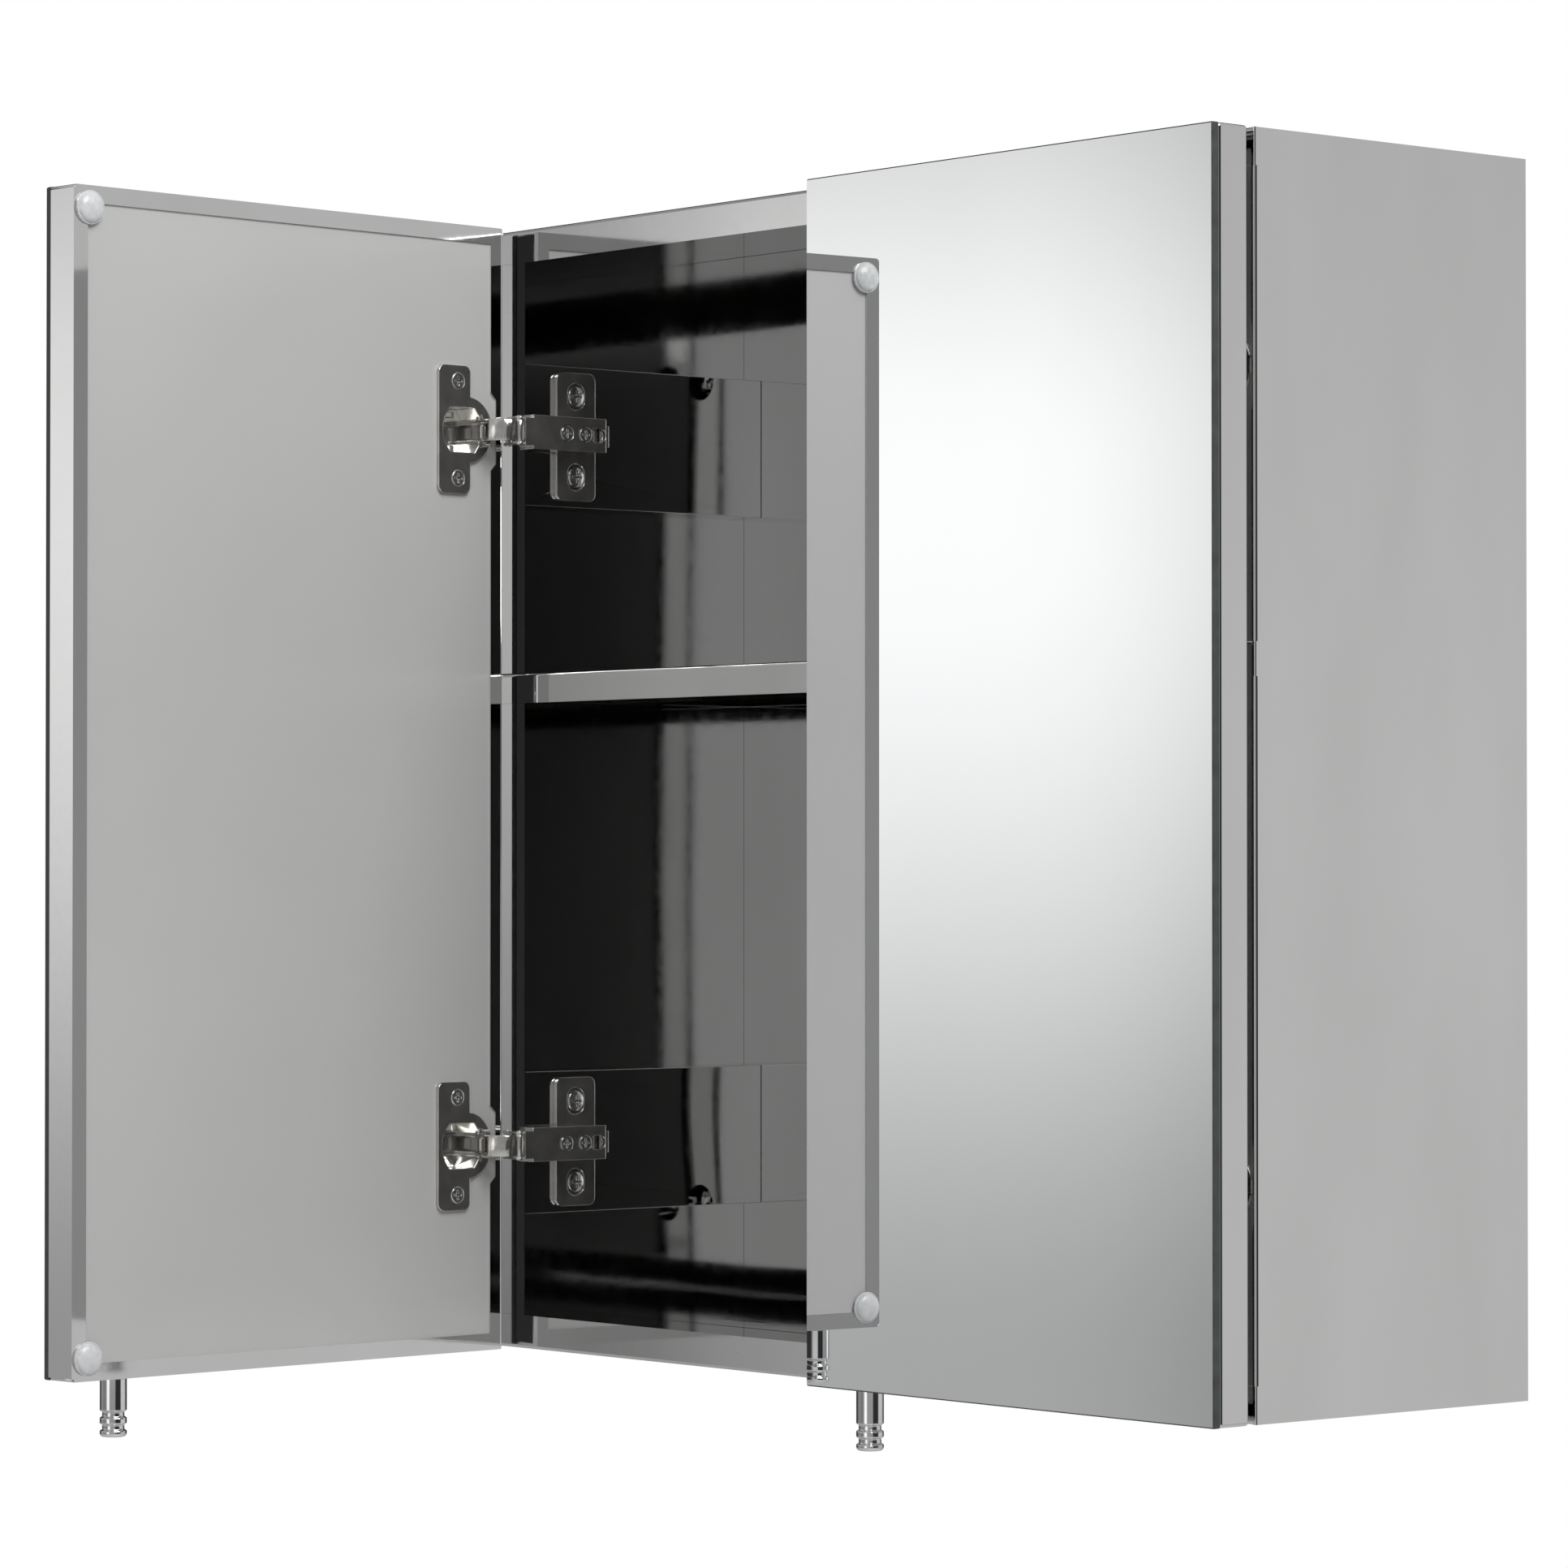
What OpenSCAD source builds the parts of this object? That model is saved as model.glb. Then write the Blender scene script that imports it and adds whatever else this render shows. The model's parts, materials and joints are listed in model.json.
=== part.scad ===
// Two-door mirror cabinet in folded stainless steel, hung on a wall by four screws.
// Frame: X to the right, Y towards the wall, Z up. The origin lies on the wall plane, at the
// centre of the four wall screws. The doors face -Y.

/* [Body] */
// Width over the outside of the side panels
body_w = 420; // [360:1:520]
// Height over the outside of the top and bottom panels
body_h = 440; // [420:1:620]
// Depth from the wall plane to the front of the body
body_d = 136; // [120:1:190]
// Thickness of the folded steel sheet
sheet_t = 0.7; // [0.5:0.1:1]
// Width of the side panels' front flange
side_flange_w = 16; // [14:0.5:20]
// Height of the top and bottom panels' front flange
end_flange_h = 13; // [10:0.5:18]
// Free space between the back panel and the wall
back_recess = 10; // [6:0.5:16]
// Gap left where one folded sheet slides inside another
sheet_fit = 0.1; // [0.05:0.05:0.3]

/* [Shelf] */
// Height of the shelf's upper face above the middle of the body
shelf_rise = 45.2; // [20:0.1:70]
// Height of the shelf's front lip
shelf_lip_h = 11.7; // [8:0.1:20]
// Height of the shelf's side and rear lips
shelf_side_lip_h = 10.4; // [7:0.1:18]

/* [Hinge channels] */
// Height of each boxed channel that carries a hinge
channel_h = 56; // [53:0.5:70]
// How far a channel stands off the side panel
channel_rise = 10.8; // [8:0.1:14]
// Thickness of the channel's sheet
channel_t = 0.8; // [0.6:0.1:1.2]

/* [Wall fixing] */
// Distance between the wall screws from left to right
wall_screw_w = 320; // [240:1:380]
// Distance between the upper and the lower wall screws
wall_screw_h = 340; // [280:1:380]
// Radius of a wall screw's hole
wall_hole_r = 2.75; // [2:0.05:3.5]
// Radius of a dish at the back panel's face
dish_mouth_r = 8; // [7:0.5:12]
// Radius of a dish at the wall
dish_floor_r = 6; // [5:0.5:8]

/* [Doors] */
// Thickness of a closed door, with its glass
door_t = 17; // [15:0.5:22]
// Thickness of the mirror glass
glass_t = 3; // [2:0.5:4]
// Gap between the body and a closed door
door_gap = 4; // [3.9:0.1:6]
// How far a closed door reaches past the side of the body
door_overhang = 1; // [0:0.1:2]
// Gap between the two closed doors
centre_gap = 1.2; // [0.8:0.1:4]
// Width of the lip folded round the back of a door
door_lip_w = 6.5; // [5:0.1:9]
// Thickness of the satin sheet that closes the back of a door
back_sheet_t = 0.8; // [0.5:0.1:1.2]
// Gap round the board and the sheet inside a door
board_fit = 0.3; // [0.1:0.05:0.6]
// Angle at which the left door stands open
left_open = 86; // [0:1:94]
// Angle at which the right door stands open
right_open = 0; // [0:1:94]

/* [Bumpers and knobs] */
// Radius of a bumper
bumper_r = 6.35; // [5:0.05:7]
// Height of a bumper
bumper_h = 3.6; // [2.5:0.1:3.7]
// Distance from a door's free edge to a bumper's centre
bumper_side = 7.1; // [7:0.1:10]
// Distance from a door's top or bottom edge to a bumper's centre
bumper_end = 8.3; // [7:0.1:9]
// Radius of a knob
knob_r = 5; // [4:0.1:7]
// Length of a knob below the door
knob_len = 22; // [18:0.5:30]
// Distance from a door's free edge to its knob's axis
knob_inset = 25.7; // [15:0.1:40]
// Radius of the screw that holds a knob
knob_screw_r = 1.9; // [1.5:0.05:2.2]

/* [Hinges] */
// Height of the upper hinges above the middle of the body, and of the lower ones below it
hinge_rise = 139.7; // [110:0.1:150]
// Radius of a hinge cup
cup_r = 13; // [12.8:0.1:13.4]
// Depth of a hinge cup below its flange
cup_depth = 11.6; // [11:0.1:11.9]
// Distance from a door's hinge edge to the middle of the cup
cup_inset = 19.4; // [19.4:0.1:20]
// Height of a cup's flange plate
cup_plate_h = 50; // [46:0.5:52]
// Distance between the two screws of a cup
cup_screw_pitch = 38; // [36:0.5:40]
// Height of a mounting plate
plate_h = 51; // [46:0.5:52]
// Width of a mounting plate's wings
plate_w = 19.5; // [16:0.5:22]
// Thickness of a mounting plate's wings
plate_t = 2.2; // [1.5:0.1:2.5]
// Distance between the two screws of a mounting plate
plate_screw_pitch = 32; // [30:1:36]
// Distance from the front of the body to a mounting plate's screws
plate_screw_setback = 27.5; // [26:0.5:32]
// How far a hinge arm stands off its channel
arm_rise = 14; // [13:0.1:14.5]
// Height of a hinge arm
arm_h = 13.4; // [12.8:0.1:13.6]
// Length of a hinge arm's face
arm_len = 40.4; // [38:0.1:44]
// Thickness of a hinge's arm, links and ears
link_t = 1; // [0.8:0.05:1.1]
// Height of the outer link
outer_link_h = 8.4; // [8:0.1:8.8]
// Height of the inner link
inner_link_h = 5.2; // [4.6:0.1:5.4]
// Side play between the links, and between the outer link and the nose of the arm
link_fit = 0.25; // [0.15:0.05:0.3]
// Radius of the hinge pins
pin_r = 1; // [0.8:0.05:1.1]
// Running clearance between a pin and the link that turns on it
pin_fit = 0.05; // [0.02:0.01:0.08]

/* [Hidden] */
$fn = 48;

cut = 0.5;                               // how far a cutting shape runs past a face
half_w = body_w / 2;
half_h = body_h / 2;
inner_x = half_w - sheet_t;              // inner face of a side panel
back_face = -back_recess - sheet_t;      // interior face of the back panel
flange_back = -body_d + sheet_t;         // rear face of the front flanges
lip_play = 1;                            // clearance at each end of the shelf's side lips
shelf_top = shelf_rise;
shelf_x = inner_x - sheet_fit;
channel_x = inner_x - channel_rise;      // face of a channel, from the middle of the body

// A door's own frame: X from its hinge edge, Y from its inner face towards the wall, Z up.
door_w = half_w + door_overhang - centre_gap / 2;
door_h = body_h;
shell_t = door_t - glass_t;
hinge_heights = [hinge_rise, -hinge_rise];
corner = [-half_w - door_overhang, -body_d - door_gap];

// Hinge pivots, from the closed door's inner hinge-edge corner.
outer_ground = [27.4, -6.6];
inner_ground = [18.2, -5.2];
outer_cup = [12.1, -0.4];
inner_cup = [9.2, -2.3];
swing_ref = 86;                          // door angle at which the two turns below are reached
outer_turn = 57;                         // turn of the outer link over that door angle
inner_turn = 68.5;                       // turn of the inner link over that door angle
inner_start = 161.3;                     // angle of the inner link with the door closed
inner_len = 10.2;
outer_span = outer_cup - outer_ground;
outer_len = norm(outer_span);
outer_start = atan2(outer_span[1], outer_span[0]);
eye_r = pin_r + 0.6;                     // outside of the rolled eyes round the pins
nose_r = eye_r + 0.2;
nose_half = outer_link_h / 2 + link_fit; // inner faces of the nose's two ears
pin_half = nose_half + link_t + 0.3;     // half length of a pin
outer_bow = 5.8;                         // how far the outer link arches off its chord
fork_half = inner_link_h / 2 + link_fit; // half height of the outer link's fork
outer_web_len = 11.3;                    // where the outer link forks round the inner link
inner_bow = 2.2;                         // how far the inner link arches off its chord
eye_gap = 0.95;                          // play of the inner link at its cup eye

// Hinge cup, in its door's frame.
cup_top = 0.8;                           // face of the cup above the door's inner face
cup_wall = 0.6;
cup_floor_t = 0.8;
plate_inner = 17.7;                      // flange plate's edge nearest the hinge edge
plate_outer = 34;
plate_corner_r = 3;
cup_screw_s = 24;
cup_screw_r = 1.6;
cup_head_r = 3.3;
cup_screw_len = 10;
slot_fit = 0.4;                          // side play of the links in the cup's slot
mouth_half = 8.8;                        // half height of the cup's mouth at its widest
cup_pin_half = 6.5;                      // half length of the pins in the cup
mouth_slope = [-1, 2];                   // start and end of the mouth's sloped sides
leaf_r = 14;                             // cup spring: radius, rise, half length, width, thickness
leaf_rise = 1.1;
leaf_half = 5;
leaf_w = 2.4;
leaf_t = 0.4;
leaf_z = 6.6;
leaf_shift = 2.2;
window_depth = 2.8;                      // depth of the window that the inner link swings through

// Knob and its screw.
knob_step = 2.4;                         // length of a ring or a groove
knob_groove = 0.9;                       // depth of a groove
knob_round = 1.2;                        // radius of the knob's lower edge
knob_screw_len = 7.5;
knob_head_r = 3.6;
knob_head_h = 2.4;
knob_screw_play = 0.5;                   // room past the end of the knob's screw
knob_flank = 0.15;                       // sloped share of a groove's length, at each side
knob_head_play = 0.4;                    // clearance round the screw's head in the door
lip_notch_s = 3.8;
lip_notch_h = 25.2;
lip_notch_chamfer = 3.2;

// Mounting plate and arm, from the channel's face.
wing_front = plate_screw_setback + door_gap - plate_w / 2;
spine_h = arm_h - 2 * link_t - 0.4;
spine_rise = 9.4;
plate_bolt_r = 2;
plate_head_r = 4;
plate_head_h = 2.4;
plate_recess = 1.2;
plate_screw_len = 6;                     // screw below the channel's face
seat_play = 1.2;                         // how far the oval seat lets the screw shift each way
head_fit = 0.2;                          // clearance round a screw's head
crown_share = 0.45;                      // share of a pan head's height that is domed
cross_reach = 1.1;                       // cross recess, as a share of its head's radius
cross_width = 0.22;
spine_start = 6;                         // front end of the spine
spine_wall = 1.4;
spine_roof = 1.6;
spine_tail_gap = 8;                      // how much shorter the spine is than the arm
adjuster_r = 3;
adjuster_shank_r = 1.9;
adjuster_head_h = 2.6;
adjuster_proud = 0.3;                    // head above the arm's face
adjuster_tip = 2;                        // lower end above the channel's face
adjuster_play = 0.2;                     // clearance round an adjusting screw's head
side_adjuster_v = 17.7;
depth_adjuster_v = 27;
arm_slot_v = 33.4;
arm_slot_half = 1;                       // half the straight part of the long hole
nose_blend = 2;                          // length over which the nose widens
arm_nose_v = -3;                         // front end of the arm's face
arm_body_v = 1;                          // where the arm widens behind its nose
arm_face_u = half_w + door_overhang - channel_x + arm_rise;
arm_foot_u = arm_face_u - arm_rise + plate_t + 0.4;
arm_foot_v = door_gap + sheet_t + 0.8;   // the arm's sides reach down only behind the front flange
arm_neck_u = side_flange_w + door_overhang + 0.6;
tail_h = 8.6;                            // clip at the rear end of the arm
tail_len = 3.1;
tail_drop = 2.2;

function turned(p, a) = [p[0] * cos(a) - p[1] * sin(a), p[0] * sin(a) + p[1] * cos(a)];
function outer_angle(open) = outer_start + outer_turn * open / swing_ref;
function inner_angle(open) = inner_start + inner_turn * open / swing_ref;
function cup_pin_at(open) =
    outer_ground + outer_len * [cos(outer_angle(open)), sin(outer_angle(open))];
function corner_at(open) = corner + cup_pin_at(open) - turned(outer_cup, -open);
function arc(cx, cy, r, from, to, steps) =
    [for (i = [0:steps]) [cx + r * cos(from + (to - from) * i / steps),
                          cy + r * sin(from + (to - from) * i / steps)]];

// ---- placing ----

// Puts a shape made in a left door's frame at the door's opening angle.
module on_left_door(open) {
    at = corner_at(open);
    translate([at[0], at[1], 0]) rotate([0, 0, -open]) children();
}

module on_right_door(open) {
    mirror([1, 0, 0]) on_left_door(open) children();
}

// Puts a shape made from a closed left door's corner at a hinge's height.
module at_hinge(z) {
    translate([corner[0], corner[1], z]) children();
}

module at_both_hinges() {
    for (z = hinge_heights) at_hinge(z) children();
}

module on_both_sides() {
    children();
    mirror([1, 0, 0]) children();
}

// ---- body ----

module side_panel_shape() {
    flange_top = half_h - end_flange_h - sheet_fit;
    lip_gap = shelf_lip_h + 2 * sheet_fit;
    translate([-half_w, flange_back, -half_h]) cube([sheet_t, -flange_back, body_h]);
    difference() {
        translate([-half_w, -body_d, -flange_top]) cube([side_flange_w, sheet_t, 2 * flange_top]);
        translate([-inner_x, -body_d - cut, shelf_top - shelf_lip_h - sheet_fit])
            cube([side_flange_w, sheet_t + 2 * cut, lip_gap]);
    }
}

module end_panel_shape() {
    translate([-inner_x, flange_back, half_h - sheet_t]) cube([2 * inner_x, -flange_back, sheet_t]);
    translate([-half_w, -body_d, half_h - end_flange_h]) cube([body_w, sheet_t, end_flange_h]);
}

module back_panel_shape() {
    x = inner_x - sheet_fit;
    z = half_h - sheet_t - sheet_fit;
    difference() {
        translate([-x, back_face, -z]) cube([2 * x, -back_face, 2 * z]);
        translate([-x + sheet_t, -back_recess, -z + sheet_t])
            cube([2 * (x - sheet_t), back_recess + cut, 2 * (z - sheet_t)]);
        at_wall_screws() dish_hollow();
    }
    at_wall_screws() dish_wall();
}

module at_wall_screws() {
    for (x = [-1, 1], z = [-1, 1])
        translate([x * wall_screw_w / 2, 0, z * wall_screw_h / 2]) rotate([90, 0, 0]) children();
}

// Cone of the pressed dish, open to the cabinet; its axis runs from the wall to the front.
module dish_hollow() {
    translate([0, 0, sheet_t]) cylinder(r1 = dish_floor_r, r2 = dish_mouth_r, h = back_recess);
}

module dish_wall() {
    rotate_extrude() polygon([
        [wall_hole_r, 0], [dish_floor_r + sheet_t, 0], [dish_mouth_r + sheet_t, back_recess],
        [dish_mouth_r + sheet_t, back_recess + sheet_t], [dish_mouth_r, back_recess + sheet_t],
        [dish_floor_r, sheet_t], [wall_hole_r, sheet_t]
    ]);
}

module shelf_shape() {
    depth = body_d + back_face - sheet_fit;
    side_len = depth - 2 * sheet_t - lip_play;
    translate([-shelf_x, -body_d, shelf_top - sheet_t]) cube([2 * shelf_x, depth, sheet_t]);
    translate([-shelf_x, -body_d, shelf_top - shelf_lip_h]) cube([2 * shelf_x, sheet_t, shelf_lip_h]);
    translate([-shelf_x, -body_d + depth - sheet_t, shelf_top - shelf_side_lip_h])
        cube([2 * shelf_x, sheet_t, shelf_side_lip_h]);
    on_both_sides()
        translate([-shelf_x, flange_back + lip_play, shelf_top - shelf_side_lip_h])
            cube([sheet_t, side_len, shelf_side_lip_h]);
}

// Boxed channel between the front flange and the back panel, on the left side panel.
module channel_shape(z) {
    len = back_face - flange_back - sheet_fit;
    difference() {
        translate([-inner_x, flange_back, z - channel_h / 2]) cube([channel_rise, len, channel_h]);
        translate([-inner_x - cut, flange_back - cut, z - channel_h / 2 + channel_t])
            cube([channel_rise - channel_t + cut, len + 2 * cut, channel_h - 2 * channel_t]);
        at_hinge(z) at_plate_screws() cylinder(r = plate_bolt_r, h = 3 * channel_t, center = true);
    }
}

// ---- hinge: cabinet side ----

// Axes of a plate's two screws, from the channel's face into the cabinet.
module at_plate_screws() {
    for (s = [-1, 1])
        translate([half_w + door_overhang - channel_x, plate_screw_setback + door_gap,
                   s * plate_screw_pitch / 2])
            rotate([0, 90, 0]) children();
}

module on_channel() {
    translate([half_w + door_overhang - channel_x, 0, 0]) children();
}

module wing_outline() {
    r = plate_corner_r;
    translate([wing_front + r, -plate_h / 2]) square([plate_w - 2 * r, plate_h]);
    translate([wing_front, -plate_h / 2 + r]) square([plate_w, plate_h - 2 * r]);
    for (x = [r, plate_w - r], y = [-1, 1])
        translate([wing_front + x, y * (plate_h / 2 - r)]) circle(r = r);
}

// Cross-shaped plate: two wings screwed to the channel and a spine that the arm straddles.
module mounting_plate_shape() {
    spine_len = arm_len - spine_tail_gap;
    difference() {
        union() {
            on_channel() rotate([90, 0, 90]) linear_extrude(plate_t) wing_outline();
            on_channel() translate([0, spine_start, -spine_h / 2]) cube([spine_rise, spine_len, spine_h]);
        }
        on_channel() translate([-cut, spine_start + spine_wall, -spine_h / 2 + spine_wall])
            cube([spine_rise - spine_roof, spine_len - 2 * spine_wall, spine_h - 2 * spine_wall]);
        at_plate_screws() plate_screw_seat();
        at_adjusters() cylinder(r = adjuster_shank_r, h = 4 * spine_rise, center = true);
    }
}

// Oval seat pressed round each plate screw.
module plate_screw_seat() {
    seat_r = plate_head_r + head_fit;
    translate([0, 0, -cut]) cylinder(r = plate_bolt_r, h = plate_t + 2 * cut);
    translate([0, 0, plate_t - plate_recess]) {
        for (s = [-1, 1]) translate([s * seat_play, 0, 0]) cylinder(r = seat_r, h = plate_recess + cut);
        translate([-seat_play, -seat_r, 0]) cube([2 * seat_play, 2 * seat_r, plate_recess + cut]);
    }
}

module at_adjusters() {
    for (v = [side_adjuster_v, depth_adjuster_v]) at_adjuster(v) children();
}

module at_adjuster(v) {
    on_channel() translate([0, v, 0]) rotate([0, 90, 0]) children();
}

// Side view of the nose: two rounded ends round the pins, blended back to the arm.
module nose_outline() {
    polygon([
        inner_ground + [-nose_r, 0], inner_ground + [0, -nose_r], outer_ground + [0, -nose_r],
        outer_ground + [nose_r, 0], [arm_face_u, arm_nose_v], [arm_face_u, arm_body_v + nose_blend],
        [arm_neck_u, arm_body_v + nose_blend]
    ]);
    translate(inner_ground) circle(r = nose_r);
    translate(outer_ground) circle(r = nose_r);
}

// Arm: a channel over the plate's spine that narrows to two ears, one each side of the links.
module arm_shape() {
    tail_v = arm_nose_v + arm_len;
    difference() {
        union() {
            for (s = [-1, 1]) {
                translate([0, 0, s * (nose_half + link_t / 2)])
                    linear_extrude(link_t, center = true) nose_outline();
                translate([arm_foot_u, arm_foot_v, s * (arm_h - link_t) / 2 - link_t / 2])
                    cube([arm_face_u - arm_foot_u, tail_v - arm_foot_v, link_t]);
                translate([arm_neck_u, arm_body_v, s * (arm_h - link_t) / 2 - link_t / 2])
                    cube([arm_face_u - arm_neck_u, arm_foot_v - arm_body_v, link_t]);
                translate([arm_neck_u, arm_body_v, s > 0 ? nose_half : -arm_h / 2])
                    cube([arm_face_u - arm_neck_u, link_t, arm_h / 2 - nose_half]);
            }
            translate([arm_face_u - link_t, arm_nose_v, -nose_half - link_t])
                cube([link_t, arm_body_v - arm_nose_v + link_t, 2 * (nose_half + link_t)]);
            translate([arm_face_u - link_t, arm_body_v, -arm_h / 2])
                cube([link_t, tail_v - arm_body_v, arm_h]);
            translate([arm_face_u - link_t - tail_drop, tail_v - link_t, -tail_h / 2])
                cube([link_t, tail_len + link_t, tail_h]);
            translate([arm_face_u - link_t - tail_drop, tail_v - link_t, -tail_h / 2])
                cube([tail_drop + link_t, link_t, tail_h]);
        }
        at_adjusters() translate([0, 0, arm_rise - 2 * link_t])
            cylinder(r = adjuster_r + adjuster_play, h = 3 * link_t);
        on_channel() translate([0, arm_slot_v, 0]) rotate([0, 90, 0]) arm_slot();
        ground_pins(pin_r, 2 * arm_h);
    }
}

// Long hole behind the adjusting screws.
module arm_slot() {
    slot_r = adjuster_r - adjuster_play;
    translate([0, 0, arm_rise - 2 * link_t]) {
        for (s = [-1, 1]) translate([0, s * arm_slot_half, 0]) cylinder(r = slot_r, h = 3 * link_t);
        translate([-slot_r, -arm_slot_half, 0]) cube([2 * slot_r, 2 * arm_slot_half, 3 * link_t]);
    }
}

module ground_pins(r, h) {
    for (p = [outer_ground, inner_ground]) translate(p) cylinder(r = r, h = h, center = true);
}

module plate_screw_shape() {
    at_plate_screws() {
        translate([0, 0, -plate_screw_len]) cylinder(r = plate_bolt_r, h = plate_screw_len + plate_t);
        pan_head(plate_head_r, plate_head_h, plate_t - plate_recess);
    }
}

// Pan head with a cross recess; its seat is at height z.
module pan_head(r, h, z) {
    crown = h * crown_share;
    sphere_r = (r * r + crown * crown) / (2 * crown);
    difference() {
        union() {
            translate([0, 0, z]) cylinder(r = r, h = h - crown);
            intersection() {
                translate([0, 0, z + h - sphere_r]) sphere(r = sphere_r);
                translate([0, 0, z + h - crown]) cylinder(r = r, h = crown);
            }
        }
        translate([0, 0, z + h]) cross_recess(r);
    }
}

module cross_recess(r) {
    for (a = [0, 90]) rotate([0, 0, a])
        cube([cross_reach * r, cross_width * r, cross_reach * r], center = true);
}

module adjuster_shape(v) {
    top = arm_rise + adjuster_proud;
    at_adjuster(v) {
        translate([0, 0, adjuster_tip])
            cylinder(r = adjuster_shank_r, h = top - adjuster_tip - adjuster_head_h / 2);
        difference() {
            translate([0, 0, top - adjuster_head_h]) cylinder(r = adjuster_r, h = adjuster_head_h);
            translate([0, 0, top]) cross_recess(adjuster_r);
        }
    }
}

// ---- hinge: links ----

// Band along an arc over a chord from the origin to [chord, 0], cut off at x = reach.
module arched_band(chord, bow, reach) {
    r = (chord * chord / 4 + bow * bow) / (2 * bow);
    intersection() {
        translate([chord / 2, bow - r]) difference() {
            circle(r = r + link_t / 2);
            circle(r = r - link_t / 2);
        }
        square([reach, bow + link_t]);
    }
}

// Outer link: an arched strap that forks at the cup, so that the inner link passes through it.
module outer_link_shape(open) {
    bore = pin_r + pin_fit;
    translate(outer_ground) rotate([0, 0, outer_angle(open)]) difference() {
        union() {
            cylinder(r = eye_r, h = outer_link_h, center = true);
            translate([outer_len, 0, 0]) cylinder(r = eye_r, h = outer_link_h, center = true);
            linear_extrude(outer_link_h, center = true) arched_band(outer_len, outer_bow, outer_len);
        }
        cylinder(r = bore, h = 2 * outer_link_h, center = true);
        translate([outer_len, 0, 0]) cylinder(r = bore, h = 2 * outer_link_h, center = true);
        translate([outer_web_len, -2 * eye_r, -fork_half])
            cube([outer_len, outer_bow + 4 * eye_r, 2 * fork_half]);
    }
}

// Inner link: an eye on the arm and a bowed strap that stops at the eye kept in the cup.
module inner_link_shape(open) {
    reach = inner_len - eye_r - eye_gap;
    translate(inner_ground) rotate([0, 0, inner_angle(open)]) difference() {
        union() {
            cylinder(r = eye_r, h = inner_link_h, center = true);
            linear_extrude(inner_link_h, center = true) arched_band(inner_len, inner_bow, reach);
        }
        cylinder(r = pin_r + pin_fit, h = 2 * inner_link_h, center = true);
    }
}

// ---- hinge: door side ----

module at_cup_pins() {
    for (z = hinge_heights) translate([0, 0, z]) children();
}

// Plan of a cup's mouth: a wide D that narrows to the slot of the two links.
module mouth_outline() {
    outer_half = outer_link_h / 2 + slot_fit;
    inner_half = inner_link_h / 2 + slot_fit;
    outer_from = outer_cup[0] - eye_r - slot_fit;
    inner_from = inner_cup[0] - eye_r - slot_fit;
    wide_from = outer_cup[0] + eye_r;
    intersection() {
        translate([cup_inset, 0]) circle(r = cup_r - cup_wall);
        union() {
            translate([inner_from, -inner_half]) square([cup_inset - inner_from, 2 * inner_half]);
            translate([outer_from, -outer_half]) square([cup_inset - outer_from, 2 * outer_half]);
            polygon([
                [wide_from + mouth_slope[0], -outer_half], [wide_from + mouth_slope[1], -mouth_half],
                [cup_inset + cup_r, -mouth_half], [cup_inset + cup_r, mouth_half],
                [wide_from + mouth_slope[1], mouth_half], [wide_from + mouth_slope[0], outer_half]
            ]);
        }
    }
}

module cup_plate_outline() {
    r = plate_corner_r;
    w = plate_outer - plate_inner;
    h = cup_plate_h;
    translate([plate_inner + r, -h / 2]) square([w - 2 * r, h]);
    translate([plate_inner, -h / 2 + r]) square([w, h - 2 * r]);
    for (x = [r, w - r], y = [-1, 1])
        translate([plate_inner + x, y * (h / 2 - r)]) circle(r = r);
}

module at_cup_screws() {
    for (s = [-1, 1])
        translate([cup_screw_s, cup_top, s * cup_screw_pitch / 2]) rotate([90, 0, 0]) children();
}

// Countersunk seat or head, pointing into the door from the cup's face.
module countersink(r, head) {
    cylinder(r1 = head, r2 = r, h = head - r);
}

module cup_shape() {
    difference() {
        union() {
            translate([cup_inset, cup_top, 0]) rotate([90, 0, 0])
                cylinder(r = cup_r, h = cup_depth + cup_top);
            translate([0, cup_top, 0]) rotate([90, 0, 0])
                linear_extrude(cup_top + sheet_t) cup_plate_outline();
        }
        translate([0, cup_top + cut, 0]) rotate([90, 0, 0])
            linear_extrude(cup_depth + cup_top + cut - cup_floor_t) mouth_outline();
        translate([0, -window_depth, -inner_link_h / 2 - slot_fit])
            cube([inner_cup[0], window_depth + cup_top + cut, inner_link_h + 2 * slot_fit]);
        for (p = [outer_cup, inner_cup])
            translate(p) cylinder(r = pin_r, h = 2 * cup_pin_half, center = true);
        at_cup_screws() countersink(cup_screw_r, cup_head_r);
        at_cup_screws() cylinder(r = cup_screw_r, h = cup_screw_len);
    }
}

// A long pin for the inner link and two short ones for the outer link's fork.
module cup_pins_shape() {
    translate(inner_cup) cylinder(r = pin_r, h = 2 * cup_pin_half, center = true);
    for (s = [-1, 1])
        translate([outer_cup[0], outer_cup[1], s * (fork_half + cup_pin_half) / 2])
            cylinder(r = pin_r, h = cup_pin_half - fork_half, center = true);
}

module link_eye_shape() {
    translate(inner_cup) difference() {
        cylinder(r = eye_r, h = inner_link_h, center = true);
        cylinder(r = pin_r, h = inner_link_h + 2 * cut, center = true);
    }
}

// Bowed leaves that push the links shut; they lie on the floor of the cup beside the links.
module cup_spring_shape() {
    spring_floor = -cup_depth + cup_floor_t;
    for (s = [-1, 1])
        translate([cup_inset + leaf_shift - leaf_half, spring_floor, s * leaf_z])
            linear_extrude(leaf_w, center = true) intersection() {
                translate([leaf_half, leaf_rise - leaf_r]) difference() {
                    circle(r = leaf_r);
                    circle(r = leaf_r - leaf_t);
                }
                square([2 * leaf_half, leaf_rise]);
            }
}

module cup_screw_shape() {
    at_cup_screws() difference() {
        union() {
            countersink(cup_screw_r, cup_head_r);
            cylinder(r = cup_screw_r, h = cup_screw_len);
        }
        cross_recess(cup_head_r);
    }
}

// ---- door ----

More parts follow.
